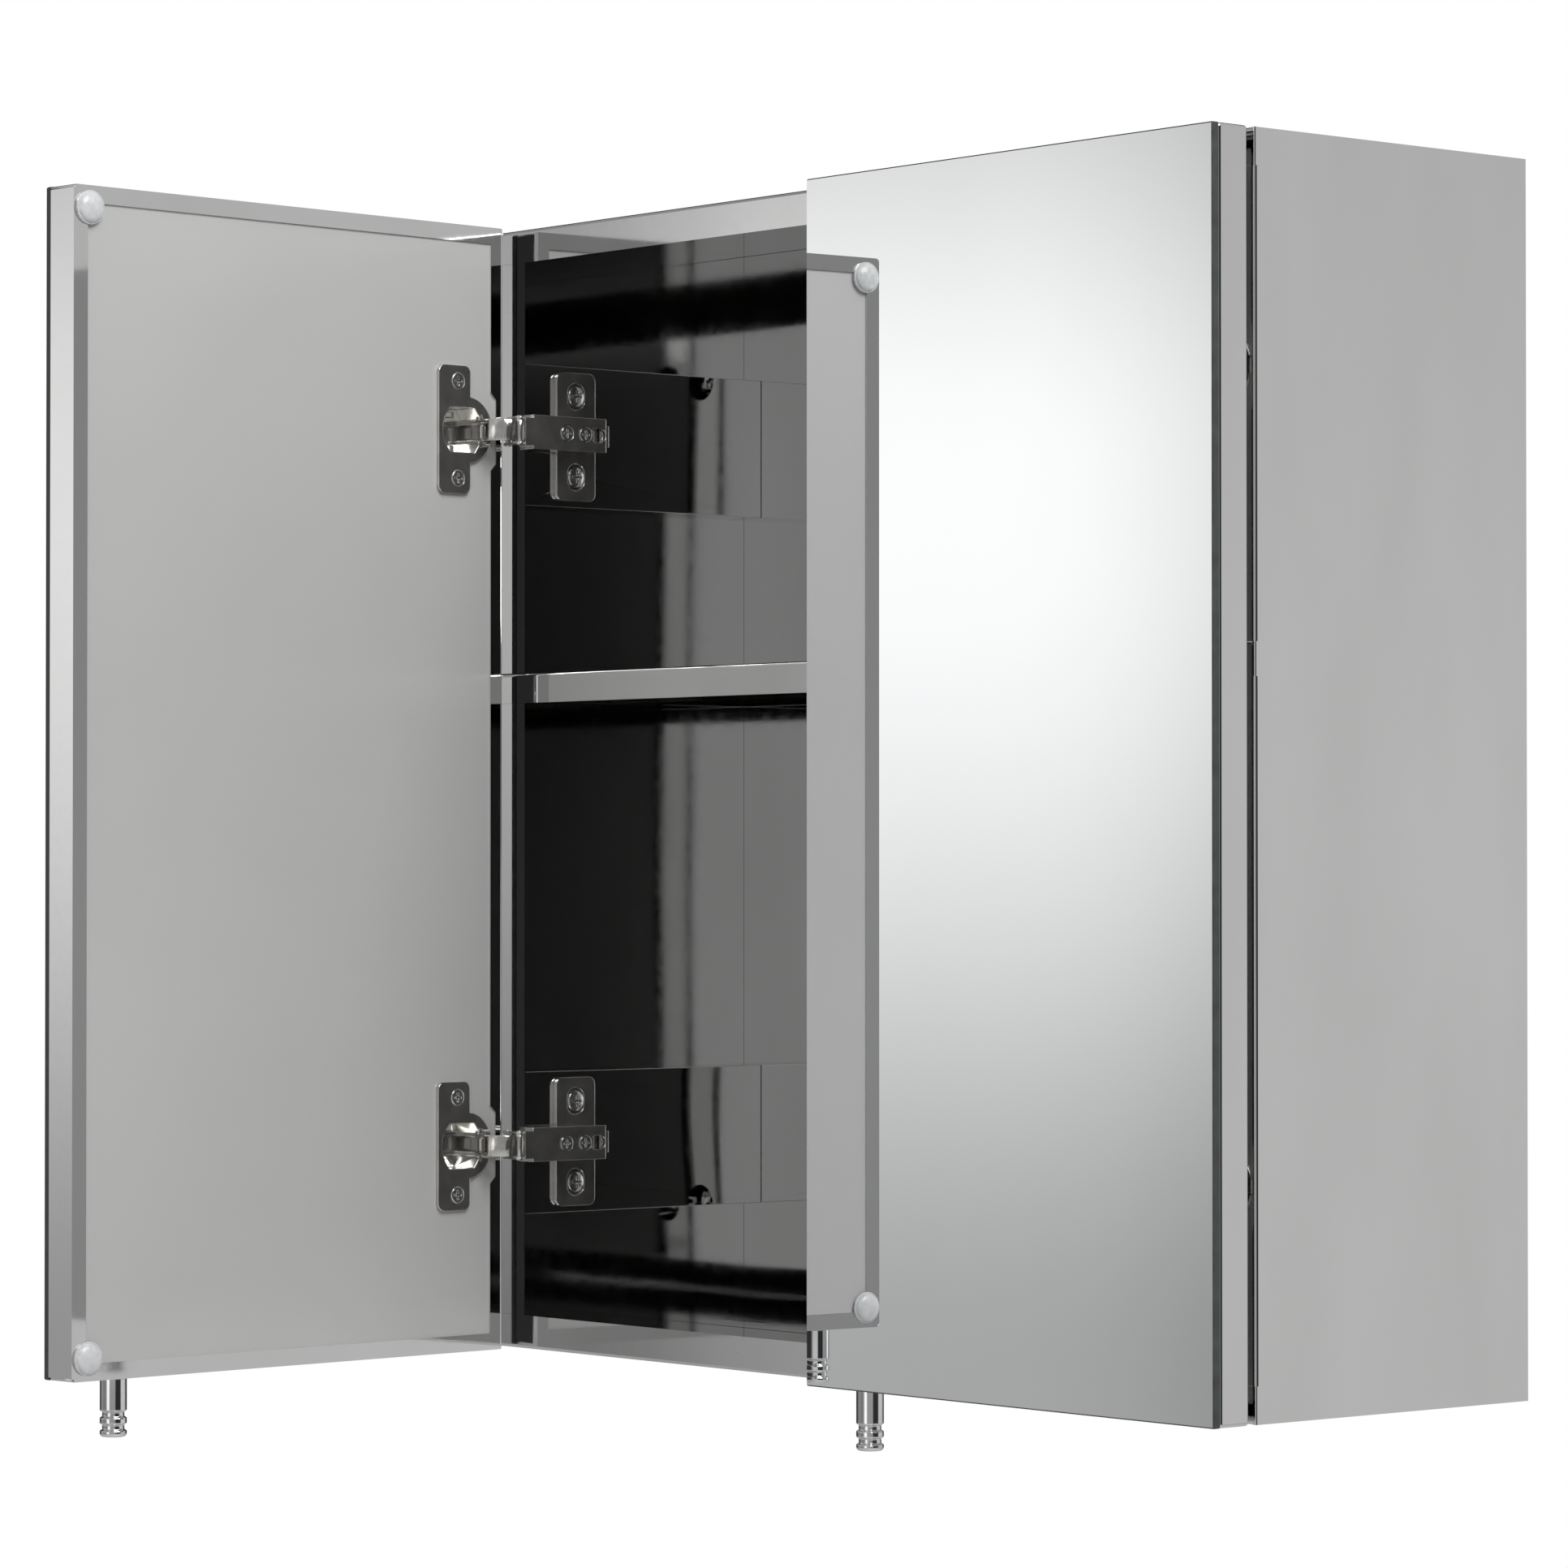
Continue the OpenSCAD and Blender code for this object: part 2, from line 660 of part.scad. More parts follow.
module glass_shape() {
    translate([0, -door_t, -door_h / 2]) cube([door_w, glass_t, door_h]);
}

module lip_notch_outline() {
    a = lip_notch_h / 2;
    b = a + lip_notch_chamfer;
    polygon([[lip_notch_s, -a], [lip_notch_s, a], [door_lip_w + cut, b], [door_lip_w + cut, -b]]);
}

// Folded tray: a sheet behind the glass, a rim all round and a lip that holds the back sheet.
module door_shell_shape() {
    inside = door_w - 2 * sheet_t;
    difference() {
        translate([0, -shell_t, -door_h / 2]) cube([door_w, shell_t, door_h]);
        translate([sheet_t, -shell_t + sheet_t, -door_h / 2 + sheet_t])
            cube([inside, shell_t - 2 * sheet_t, door_h - 2 * sheet_t]);
        translate([door_lip_w, -2 * sheet_t, -door_h / 2 + door_lip_w])
            cube([door_w - 2 * door_lip_w, 3 * sheet_t, door_h - 2 * door_lip_w]);
        for (z = hinge_heights)
            translate([0, cut, z]) rotate([90, 0, 0]) linear_extrude(2 * sheet_t) lip_notch_outline();
        at_knob() cylinder(r = knob_screw_r, h = 4 * sheet_t, center = true);
    }
}

module at_knob() {
    translate([door_w - knob_inset, -door_t / 2, -door_h / 2]) children();
}

// Plate that fills the shell between two depths, open for the cups and their screws.
module filler(from, to, cup_play) {
    edge = sheet_t + board_fit;
    difference() {
        translate([edge, from, -door_h / 2 + edge]) cube([door_w - 2 * edge, to - from, door_h - 2 * edge]);
        for (z = hinge_heights) translate([0, 0, z]) {
            translate([cup_inset, cut, 0]) rotate([90, 0, 0])
                cylinder(r = cup_r + cup_play, h = door_t + 2 * cut);
            at_cup_screws() cylinder(r = cup_screw_r, h = door_t);
            at_cup_screws() countersink(cup_screw_r, cup_head_r);
        }
        at_knob() cylinder(r = knob_head_r + knob_head_play, h = knob_head_h + sheet_t + 2 * cut);
    }
}

module back_sheet_shape() {
    filler(-sheet_t - back_sheet_t, -sheet_t, 0.1);
}

module core_board_shape() {
    filler(-shell_t + sheet_t, -sheet_t - back_sheet_t, 0.2);
}

module bumpers_shape() {
    foot_h = 1.3;
    step = 0.7;
    dome = bumper_h - foot_h;
    top_r = bumper_r - step;
    sphere_r = (top_r * top_r + dome * dome) / (2 * dome);
    for (z = [-1, 1])
        translate([door_w - bumper_side, 0, z * (door_h / 2 - bumper_end)]) rotate([-90, 0, 0]) {
            cylinder(r = bumper_r, h = foot_h);
            intersection() {
                translate([0, 0, bumper_h - sphere_r]) sphere(r = sphere_r);
                cylinder(r = top_r, h = bumper_h);
            }
        }
}

function knob_profile() = concat(
    [[0, 0], [knob_r, 0], [knob_r, -knob_len + 4 * knob_step]],
    [for (i = [3, 1]) each [
        [knob_r - knob_groove, -knob_len + (i + 1 - knob_flank) * knob_step],
        [knob_r - knob_groove, -knob_len + (i + knob_flank) * knob_step],
        [knob_r, -knob_len + i * knob_step],
        [knob_r, -knob_len + (i == 1 ? knob_round : (i - 1) * knob_step)]
    ]],
    arc(knob_r - knob_round, -knob_len + knob_round, knob_round, 0, -90, 6),
    [[0, -knob_len]]
);

module knob_shape() {
    at_knob() difference() {
        rotate_extrude() polygon(knob_profile());
        translate([0, 0, -knob_screw_len - knob_screw_play])
            cylinder(r = knob_screw_r, h = knob_screw_len + knob_screw_play + cut);
    }
}

module knob_screw_shape() {
    at_knob() {
        translate([0, 0, -knob_screw_len]) cylinder(r = knob_screw_r, h = knob_screw_len + sheet_t);
        pan_head(knob_head_r, knob_head_h, sheet_t);
    }
}

// ---- nodes: body ----

module left_side_panel() color("silver") side_panel_shape();
module right_side_panel() color("silver") mirror([1, 0, 0]) side_panel_shape();
module top_panel() color("gainsboro") end_panel_shape();
module bottom_panel() color("gainsboro") mirror([0, 0, 1]) end_panel_shape();
module back_panel() color("darkgray") back_panel_shape();
module shelf() color("lightgray") shelf_shape();

module left_upper_channel() color("gray") channel_shape(hinge_rise);
module left_lower_channel() color("gray") channel_shape(-hinge_rise);
module right_upper_channel() mirror([1, 0, 0]) left_upper_channel();
module right_lower_channel() mirror([1, 0, 0]) left_lower_channel();

module left_upper_plate() color("slategray") at_hinge(hinge_rise) mounting_plate_shape();
module left_lower_plate() color("slategray") at_hinge(-hinge_rise) mounting_plate_shape();
module right_upper_plate() mirror([1, 0, 0]) left_upper_plate();
module right_lower_plate() mirror([1, 0, 0]) left_lower_plate();

module left_upper_arm() color("lightslategray") at_hinge(hinge_rise) arm_shape();
module left_lower_arm() color("lightslategray") at_hinge(-hinge_rise) arm_shape();
module right_upper_arm() mirror([1, 0, 0]) left_upper_arm();
module right_lower_arm() mirror([1, 0, 0]) left_lower_arm();

module plate_screws() color("dimgray") on_both_sides() at_both_hinges() plate_screw_shape();
module side_adjusting_screws()
    color("dimgray") on_both_sides() at_both_hinges() adjuster_shape(side_adjuster_v);
module depth_adjusting_screws()
    color("dimgray") on_both_sides() at_both_hinges() adjuster_shape(depth_adjuster_v);
module arm_pins()
    color("dimgray") on_both_sides() at_both_hinges()
        ground_pins(pin_r, 2 * pin_half);

// ---- nodes: links ----

module left_upper_outer_link() color("silver") at_hinge(hinge_rise) outer_link_shape(left_open);
module left_lower_outer_link() color("silver") at_hinge(-hinge_rise) outer_link_shape(left_open);
module right_upper_outer_link()
    color("silver") mirror([1, 0, 0]) at_hinge(hinge_rise) outer_link_shape(right_open);
module right_lower_outer_link()
    color("silver") mirror([1, 0, 0]) at_hinge(-hinge_rise) outer_link_shape(right_open);

module left_upper_inner_link() color("gray") at_hinge(hinge_rise) inner_link_shape(left_open);
module left_lower_inner_link() color("gray") at_hinge(-hinge_rise) inner_link_shape(left_open);
module right_upper_inner_link()
    color("gray") mirror([1, 0, 0]) at_hinge(hinge_rise) inner_link_shape(right_open);
module right_lower_inner_link()
    color("gray") mirror([1, 0, 0]) at_hinge(-hinge_rise) inner_link_shape(right_open);

// ---- nodes: hinge parts that ride on the doors ----

module left_upper_cup() color("slategray") on_left_door(left_open) translate([0, 0, hinge_rise]) cup_shape();
module left_lower_cup() color("slategray") on_left_door(left_open) translate([0, 0, -hinge_rise]) cup_shape();
module right_upper_cup()
    color("slategray") on_right_door(right_open) translate([0, 0, hinge_rise]) cup_shape();
module right_lower_cup()
    color("slategray") on_right_door(right_open) translate([0, 0, -hinge_rise]) cup_shape();

module left_cup_screws() color("dimgray") on_left_door(left_open) at_cup_pins() cup_screw_shape();
module right_cup_screws() color("dimgray") on_right_door(right_open) at_cup_pins() cup_screw_shape();
module left_cup_pins() color("dimgray") on_left_door(left_open) at_cup_pins() cup_pins_shape();
module right_cup_pins() color("dimgray") on_right_door(right_open) at_cup_pins() cup_pins_shape();
module left_link_eyes() color("gray") on_left_door(left_open) at_cup_pins() link_eye_shape();
module right_link_eyes() color("gray") on_right_door(right_open) at_cup_pins() link_eye_shape();
module left_cup_springs() color("dimgray") on_left_door(left_open) at_cup_pins() cup_spring_shape();
module right_cup_springs() color("dimgray") on_right_door(right_open) at_cup_pins() cup_spring_shape();

// ---- nodes: doors ----

module left_mirror_glass() color("lightcyan") on_left_door(left_open) glass_shape();
module right_mirror_glass() color("lightcyan") on_right_door(right_open) glass_shape();
module left_door_shell() color("silver") on_left_door(left_open) door_shell_shape();
module right_door_shell() color("silver") on_right_door(right_open) door_shell_shape();
module left_back_sheet() color("whitesmoke") on_left_door(left_open) back_sheet_shape();
module right_back_sheet() color("whitesmoke") on_right_door(right_open) back_sheet_shape();
module left_core_board() color("burlywood") on_left_door(left_open) core_board_shape();
module right_core_board() color("burlywood") on_right_door(right_open) core_board_shape();
module left_bumpers() color("azure") on_left_door(left_open) bumpers_shape();
module right_bumpers() color("azure") on_right_door(right_open) bumpers_shape();
module left_knob() color("lightsteelblue") on_left_door(left_open) knob_shape();
module right_knob() color("lightsteelblue") on_right_door(right_open) knob_shape();
module left_knob_screw() color("dimgray") on_left_door(left_open) knob_screw_shape();
module right_knob_screw() color("dimgray") on_right_door(right_open) knob_screw_shape();

left_side_panel();
right_side_panel();
top_panel();
bottom_panel();
back_panel();
shelf();
left_upper_channel();
left_lower_channel();
right_upper_channel();
right_lower_channel();
left_upper_plate();
left_lower_plate();
right_upper_plate();
right_lower_plate();
left_upper_arm();
left_lower_arm();
right_upper_arm();
right_lower_arm();
plate_screws();
side_adjusting_screws();
depth_adjusting_screws();
arm_pins();
left_upper_outer_link();
left_lower_outer_link();
right_upper_outer_link();
right_lower_outer_link();
left_upper_inner_link();
left_lower_inner_link();
right_upper_inner_link();
right_lower_inner_link();
left_upper_cup();
left_lower_cup();
right_upper_cup();
right_lower_cup();
left_cup_screws();
right_cup_screws();
left_cup_pins();
right_cup_pins();
left_link_eyes();
right_link_eyes();
left_cup_springs();
right_cup_springs();
left_mirror_glass();
right_mirror_glass();
left_door_shell();
right_door_shell();
left_back_sheet();
right_back_sheet();
left_core_board();
right_core_board();
left_bumpers();
right_bumpers();
left_knob();
right_knob();
left_knob_screw();
right_knob_screw();
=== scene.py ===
"""Looks of a two-door mirror cabinet in folded stainless steel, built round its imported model.

Lengths are in metres. X runs to the right, Y towards the wall, Z up, and the doors face -Y. Each
sub-assembly is a class with its sizes as fields; each finish is a frozen dataclass.
"""
import json
import logging
import math
from dataclasses import dataclass, field
from enum import Enum

import bpy
import numpy as np
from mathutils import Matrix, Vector


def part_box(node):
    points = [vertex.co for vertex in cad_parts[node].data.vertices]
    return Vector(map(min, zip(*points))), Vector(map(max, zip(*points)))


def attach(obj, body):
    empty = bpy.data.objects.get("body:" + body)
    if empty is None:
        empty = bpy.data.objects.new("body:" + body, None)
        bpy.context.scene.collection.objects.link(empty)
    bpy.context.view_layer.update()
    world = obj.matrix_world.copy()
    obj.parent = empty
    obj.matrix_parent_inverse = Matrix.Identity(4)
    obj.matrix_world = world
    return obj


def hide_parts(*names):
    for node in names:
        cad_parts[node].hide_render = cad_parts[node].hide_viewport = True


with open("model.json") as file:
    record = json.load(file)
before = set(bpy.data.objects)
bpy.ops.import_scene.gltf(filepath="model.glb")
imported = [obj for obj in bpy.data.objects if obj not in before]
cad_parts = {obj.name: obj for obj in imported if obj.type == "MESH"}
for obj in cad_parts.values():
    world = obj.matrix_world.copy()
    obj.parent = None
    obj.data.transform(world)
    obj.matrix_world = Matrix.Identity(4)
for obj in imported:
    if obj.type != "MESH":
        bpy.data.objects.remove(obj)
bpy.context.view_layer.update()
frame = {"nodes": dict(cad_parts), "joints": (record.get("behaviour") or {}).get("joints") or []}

LOG = logging.getLogger("cabinet")
MM = 0.001
SMOOTH_BELOW = math.radians(32)
SHARPEST = 0.1 * MM
SAME_PLACE = 0.004 * MM


class Side(Enum):
    """Which door, and which half of the body, a piece belongs to."""

    LEFT = "left"
    RIGHT = "right"


class Level(Enum):
    """Which of a door's two hinges a piece belongs to."""

    UPPER = "upper"
    LOWER = "lower"


# ---- finishes ----


class Nodes:
    """A node tree, with short calls that add, join and mix nodes."""

    def __init__(self, tree: bpy.types.NodeTree) -> None:
        """Keeps a tree and empties it."""
        self.tree = tree
        self.tree.nodes.clear()

    def add(self, kind: str, **values: object) -> bpy.types.Node:
        """Adds a node and sets its properties or inputs.

        Args:
            kind: Blender's name for the node type.
            **values: a property's or an input's value, with _ for a space in an input's name.
        Returns:
            The new node.
        """
        node = self.tree.nodes.new(kind)
        for key, value in values.items():
            socket = key.replace("_", " ")
            if socket in node.inputs:
                node.inputs[socket].default_value = value
            else:
                setattr(node, key, value)
        return node

    def join(self, source: bpy.types.NodeSocket, target: bpy.types.NodeSocket) -> None:
        """Links an output to an input."""
        self.tree.links.new(source, target)

    def mix(self, share: bpy.types.NodeSocket, first: object,
            second: object) -> bpy.types.NodeSocket:
        """Blends two colours by a share.

        Args:
            share: the share of the second colour, from 0 to 1.
            first: a socket, or linear red, green and blue.
            second: a socket, or linear red, green and blue.
        Returns:
            The blended colour.
        """
        node = self.add("ShaderNodeMix", data_type="RGBA")
        ends = [socket for socket in node.inputs if socket.type == "RGBA"]
        for end, colour in zip(ends, (first, second)):
            if isinstance(colour, tuple):
                end.default_value = (*colour, 1)
            else:
                self.join(colour, end)
        self.join(share, node.inputs["Factor"])
        return next(socket for socket in node.outputs if socket.type == "RGBA")


class Graph(Nodes):
    """A material's node tree, with the patterns that the finishes are made of."""

    def __init__(self, name: str) -> None:
        """Makes an empty material with an output and a main shader.

        Args:
            name: the material's name.
        """
        self.material = bpy.data.materials.new(name)
        self.material.use_nodes = True
        super().__init__(self.material.node_tree)
        self.output = self.add("ShaderNodeOutputMaterial")
        self.shader = self.add("ShaderNodeBsdfPrincipled")
        self.join(self.shader.outputs["BSDF"], self.output.inputs["Surface"])
        self.place = self.add("ShaderNodeTexCoord").outputs["Object"]

    def noise(self, scale: float, detail: float = 3.0,
              stretch: tuple = (1, 1, 1)) -> bpy.types.NodeSocket:
        """Cloudy noise in object space.

        Args:
            scale: clouds per metre.
            detail: octaves of finer cloud.
            stretch: factor along each axis, to draw the clouds out.
        Returns:
            The noise's value, about 0.5 on average.
        """
        place = self.add("ShaderNodeMapping")
        place.inputs["Scale"].default_value = stretch
        self.join(self.place, place.inputs["Vector"])
        noise = self.add("ShaderNodeTexNoise", Scale=scale, Detail=detail)
        self.join(place.outputs["Vector"], noise.inputs["Vector"])
        return noise.outputs["Fac"]

    def remap(self, value: bpy.types.NodeSocket, low: float, high: float,
              spread: tuple = (0.3, 0.7)) -> bpy.types.NodeSocket:
        """Stretches a value from one range to another.

        Args:
            value: the value to stretch.
            low: what the range's start becomes.
            high: what the range's end becomes.
            spread: the range that is stretched.
        Returns:
            The stretched value.
        """
        node = self.add("ShaderNodeMapRange", From_Min=spread[0], From_Max=spread[1],
                        To_Min=low, To_Max=high)
        self.join(value, node.inputs["Value"])
        return node.outputs["Result"]

    def tone(self, value: bpy.types.NodeSocket, dark: tuple, light: tuple) -> None:
        """Colours the main shader by a noise.

        Args:
            value: the noise, stretched over the two colours.
            dark: linear red, green and blue at its low end.
            light: linear red, green and blue at its high end.
        """
        colour = self.mix(self.remap(value, 0, 1), dark, light)
        self.join(colour, self.shader.inputs["Base Color"])

    def rough(self, value: bpy.types.NodeSocket, ends: tuple, spread: tuple = (0.3, 0.7)) -> None:
        """Sets the main shader's roughness by a noise.

        Args:
            value: the noise.
            ends: the roughness at its low and its high end.
            spread: the range of the noise that is stretched between the two.
        """
        self.join(self.remap(value, *ends, spread), self.shader.inputs["Roughness"])

    def relief(self, normal: bpy.types.NodeSocket) -> None:
        """Gives the main shader its normal."""
        self.join(normal, self.shader.inputs["Normal"])

    def bump(self, height: bpy.types.NodeSocket, strength: float, depth: float,
             under: bpy.types.NodeSocket = None) -> bpy.types.NodeSocket:
        """Turns a height into a bent normal.

        Args:
            height: the height, from 0 to 1.
            strength: how much of the bend to use.
            depth: the height's real size, in metres.
            under: a normal that this one is laid over.
        Returns:
            The bent normal.
        """
        node = self.add("ShaderNodeBump", Strength=strength, Distance=depth)
        self.join(height, node.inputs["Height"])
        if under is not None:
            self.join(under, node.inputs["Normal"])
        return node.outputs["Normal"]

    def scratches(self, scale: float, keep: float, stretch: tuple,
                  fade: float = 0.05) -> bpy.types.NodeSocket:
        """Sparse hairlines: the thin bright part of a drawn-out noise.

        Args:
            scale: lines per metre.
            keep: level of the noise above which a line shows.
            stretch: factor along each axis.
            fade: rise of the noise from a line's edge to its middle.
        Returns:
            1 on a line and 0 off it.
        """
        return self.remap(self.noise(scale, 2.0, stretch), 0, 1, (keep, keep + fade))


@dataclass(frozen=True)
class PolishedSteel:
    """Mirror-polished stainless sheet, faintly wavy, with wipe marks and a few hairlines."""

    name: str = "polished_steel"
    dark: tuple = (0.63, 0.63, 0.626)
    light: tuple = (0.69, 0.69, 0.688)
    roughness: tuple = (0.035, 0.075)
    wave_scale: float = 9.0
    wave_depth: float = 0.6 * MM

    def material(self) -> bpy.types.Material:
        """Builds the material: cloudy tone, wipe marks in the roughness, long waves and hairlines.

        Returns:
            The finished material.
        """
        g = Graph(self.name)
        g.shader.inputs["Metallic"].default_value = 1.0
        wipe = g.noise(scale=14, detail=5, stretch=(1, 1, 0.35))
        g.tone(wipe, self.dark, self.light)
        fine = g.noise(scale=260, detail=4)
        blend = g.add("ShaderNodeMath", operation="MULTIPLY")
        g.join(g.remap(fine, low=0.7, high=1.3), blend.inputs[0])
        g.join(g.remap(wipe, *self.roughness), blend.inputs[1])
        g.join(blend.outputs[0], g.shader.inputs["Roughness"])
        sway = g.noise(self.wave_scale, detail=1.5, stretch=(1, 1, 0.55))
        waves = g.bump(sway, strength=1.0, depth=self.wave_depth)
        lines = g.scratches(scale=34, keep=0.71, stretch=(1, 1, 9))
        g.relief(g.bump(lines, strength=0.12, depth=2e-5, under=waves))
        return g.material


@dataclass(frozen=True)
class LacqueredSheet:
    """Pale grey sheet inside the doors, with a soft lacquer that just shows what is near."""

    name: str = "grey_lacquer"
    dark: tuple = (0.475, 0.473, 0.47)
    light: tuple = (0.52, 0.518, 0.514)
    roughness: tuple = (0.16, 0.26)

    def material(self) -> bpy.types.Material:
        """Builds the material: cloudy tone, fine orange peel, faint rubbed marks.

        Returns:
            The finished material.
        """
        g = Graph(self.name)
        g.tone(g.noise(scale=5, detail=5), self.dark, self.light)
        g.rough(g.noise(scale=30, detail=5), self.roughness)
        peel = g.bump(g.noise(scale=700, detail=2), strength=0.15, depth=1e-5)
        marks = g.scratches(scale=60, keep=0.71, stretch=(1, 1, 8))
        g.relief(g.bump(marks, strength=0.1, depth=1e-5, under=peel))
        return g.material


@dataclass(frozen=True)
class PlatedSteel:
    """Nickel- or zinc-plated pressing, slightly grainy, darker in its dull patches."""

    name: str
    dark: tuple
    light: tuple
    roughness: tuple = (0.16, 0.3)
    grain: float = 1400.0
    metallic: float = 0.9
    softness: float = 0.7 * MM
    samples: int = 6

    def material(self) -> bpy.types.Material:
        """Builds the material: softened edges, dull patches, orange-peel bump and fine scratches.

        Returns:
            The finished material.
        """
        g = Graph(self.name)
        g.shader.inputs["Metallic"].default_value = self.metallic
        patch = g.noise(scale=120, detail=4)
        g.tone(patch, self.dark, self.light)
        g.rough(patch, self.roughness)
        soft = g.add("ShaderNodeBevel", samples=self.samples, Radius=self.softness)
        grain = g.noise(self.grain, detail=2)
        peel = g.bump(grain, strength=0.3, depth=1e-5, under=soft.outputs["Normal"])
        lines = g.scratches(scale=300, keep=0.7, stretch=(1, 6, 1))
        g.relief(g.bump(lines, strength=0.2, depth=1e-5, under=peel))
        return g.material


@dataclass(frozen=True)
class SilveredGlass:
    """Front of the mirror: a clear reflection with the faintest haze from wiping."""

    name: str = "silvered_glass"
    dark: tuple = (0.86, 0.865, 0.87)
    light: tuple = (0.9, 0.905, 0.91)
    roughness: tuple = (0.0, 0.02)

    def material(self) -> bpy.types.Material:
        """Builds the material: near-perfect mirror, wipe haze in tone and roughness.

        Returns:
            The finished material.
        """
        g = Graph(self.name)
        g.shader.inputs["Metallic"].default_value = 1.0
        wipe = g.noise(scale=7, detail=6, stretch=(1, 1, 0.4))
        g.tone(wipe, self.dark, self.light)
        g.rough(wipe, self.roughness, spread=(0.5, 0.8))
        g.relief(g.bump(g.noise(scale=3, detail=1), strength=1.0, depth=2e-5))
        return g.material


@dataclass(frozen=True)
class GlassEdge:
    """Ground edge of the mirror glass: deep green with pale grinding marks."""

    name: str = "glass_edge"
    dark: tuple = (0.03, 0.036, 0.034)
    light: tuple = (0.05, 0.06, 0.056)
    roughness: tuple = (0.3, 0.5)

    def material(self) -> bpy.types.Material:
        """Builds the material: grinding marks across the edge under a clear gloss.

        Returns:
            The finished material.
        """
        g = Graph(self.name)
        marks = g.noise(scale=160, detail=3)
        g.tone(marks, self.dark, self.light)
        g.rough(marks, self.roughness)
        g.relief(g.bump(marks, strength=0.3, depth=1e-5))
        return g.material


@dataclass(frozen=True)
class ClearPlastic:
    """Soft clear plastic of the bumpers, a little milky."""

    name: str = "clear_plastic"
    dark: tuple = (0.8, 0.82, 0.83)
    light: tuple = (0.95, 0.96, 0.97)
    roughness: tuple = (0.1, 0.2)
    clearness: float = 0.35
    refraction: float = 1.45

    def material(self) -> bpy.types.Material:
        """Builds the material: milky body, moulding ripple and handling haze.

        Returns:
            The finished material.
        """
        g = Graph(self.name)
        g.shader.inputs["Transmission Weight"].default_value = self.clearness
        g.shader.inputs["IOR"].default_value = self.refraction
        milk = g.noise(scale=420, detail=3)
        g.tone(milk, self.dark, self.light)
        g.rough(milk, self.roughness)
        g.relief(g.bump(milk, strength=0.25, depth=5e-5))
        return g.material


@dataclass(frozen=True)
class Fibreboard:
    """Raw board inside the doors: matted fibres in two browns."""

    name: str = "fibreboard"
    dark: tuple = (0.22, 0.13, 0.07)
    light: tuple = (0.42, 0.28, 0.16)
    roughness: tuple = (0.75, 0.95)

    def material(self) -> bpy.types.Material:
        """Builds the material: short fibres in tone and bump.

        Returns:
            The finished material.
        """
        g = Graph(self.name)
        fibre = g.noise(scale=650, detail=5, stretch=(1, 1, 0.3))
        g.tone(fibre, self.dark, self.light)
        g.rough(fibre, self.roughness)
        g.relief(g.bump(fibre, strength=0.5, depth=1e-4))
        return g.material


@dataclass(frozen=True)
class PaintedFloor:
    """Plain pale studio floor with a trace of dust."""

    name: str = "pale_floor"
    dark: tuple = (0.74, 0.74, 0.735)
    light: tuple = (0.8, 0.8, 0.795)
    roughness: tuple = (0.6, 0.8)

    def material(self) -> bpy.types.Material:
        """Builds the material: soft cloud in tone and roughness.

        Returns:
            The finished material.
        """
        g = Graph(self.name)
        cloud = g.noise(scale=1.5, detail=3)
        g.tone(cloud, self.dark, self.light)
        g.rough(cloud, self.roughness)
        return g.material


@dataclass
class Finishes:
    """Every finish of the cabinet, built once."""

    outer_steel: bpy.types.Material = field(default_factory=lambda: PolishedSteel(
        "polished_steel_outer", wave_depth=0.08 * MM).material())
    inner_steel: bpy.types.Material = field(default_factory=lambda: PolishedSteel(
        "polished_steel_inner", roughness=(0.02, 0.05)).material())
    lacquer: bpy.types.Material = field(default_factory=lambda: LacqueredSheet().material())
    nickel: bpy.types.Material = field(default_factory=lambda: PlatedSteel(
        "nickel_plate", (0.52, 0.51, 0.49), (0.66, 0.645, 0.62), (0.07, 0.15)).material())
    zinc: bpy.types.Material = field(default_factory=lambda: PlatedSteel(
        "zinc_plate", (0.52, 0.52, 0.52), (0.7, 0.7, 0.69), (0.06, 0.13)).material())
    chrome: bpy.types.Material = field(default_factory=lambda: PlatedSteel(
        "knob_chrome", (0.7, 0.7, 0.71), (0.8, 0.8, 0.81), (0.03, 0.07),
        grain=900.0, metallic=1.0).material())
    mirror: bpy.types.Material = field(default_factory=lambda: SilveredGlass().material())
    glass_edge: bpy.types.Material = field(default_factory=lambda: GlassEdge().material())
    plastic: bpy.types.Material = field(default_factory=lambda: ClearPlastic().material())
    board: bpy.types.Material = field(default_factory=lambda: Fibreboard().material())
    floor: bpy.types.Material = field(default_factory=lambda: PaintedFloor().material())


# ---- surfaces ----


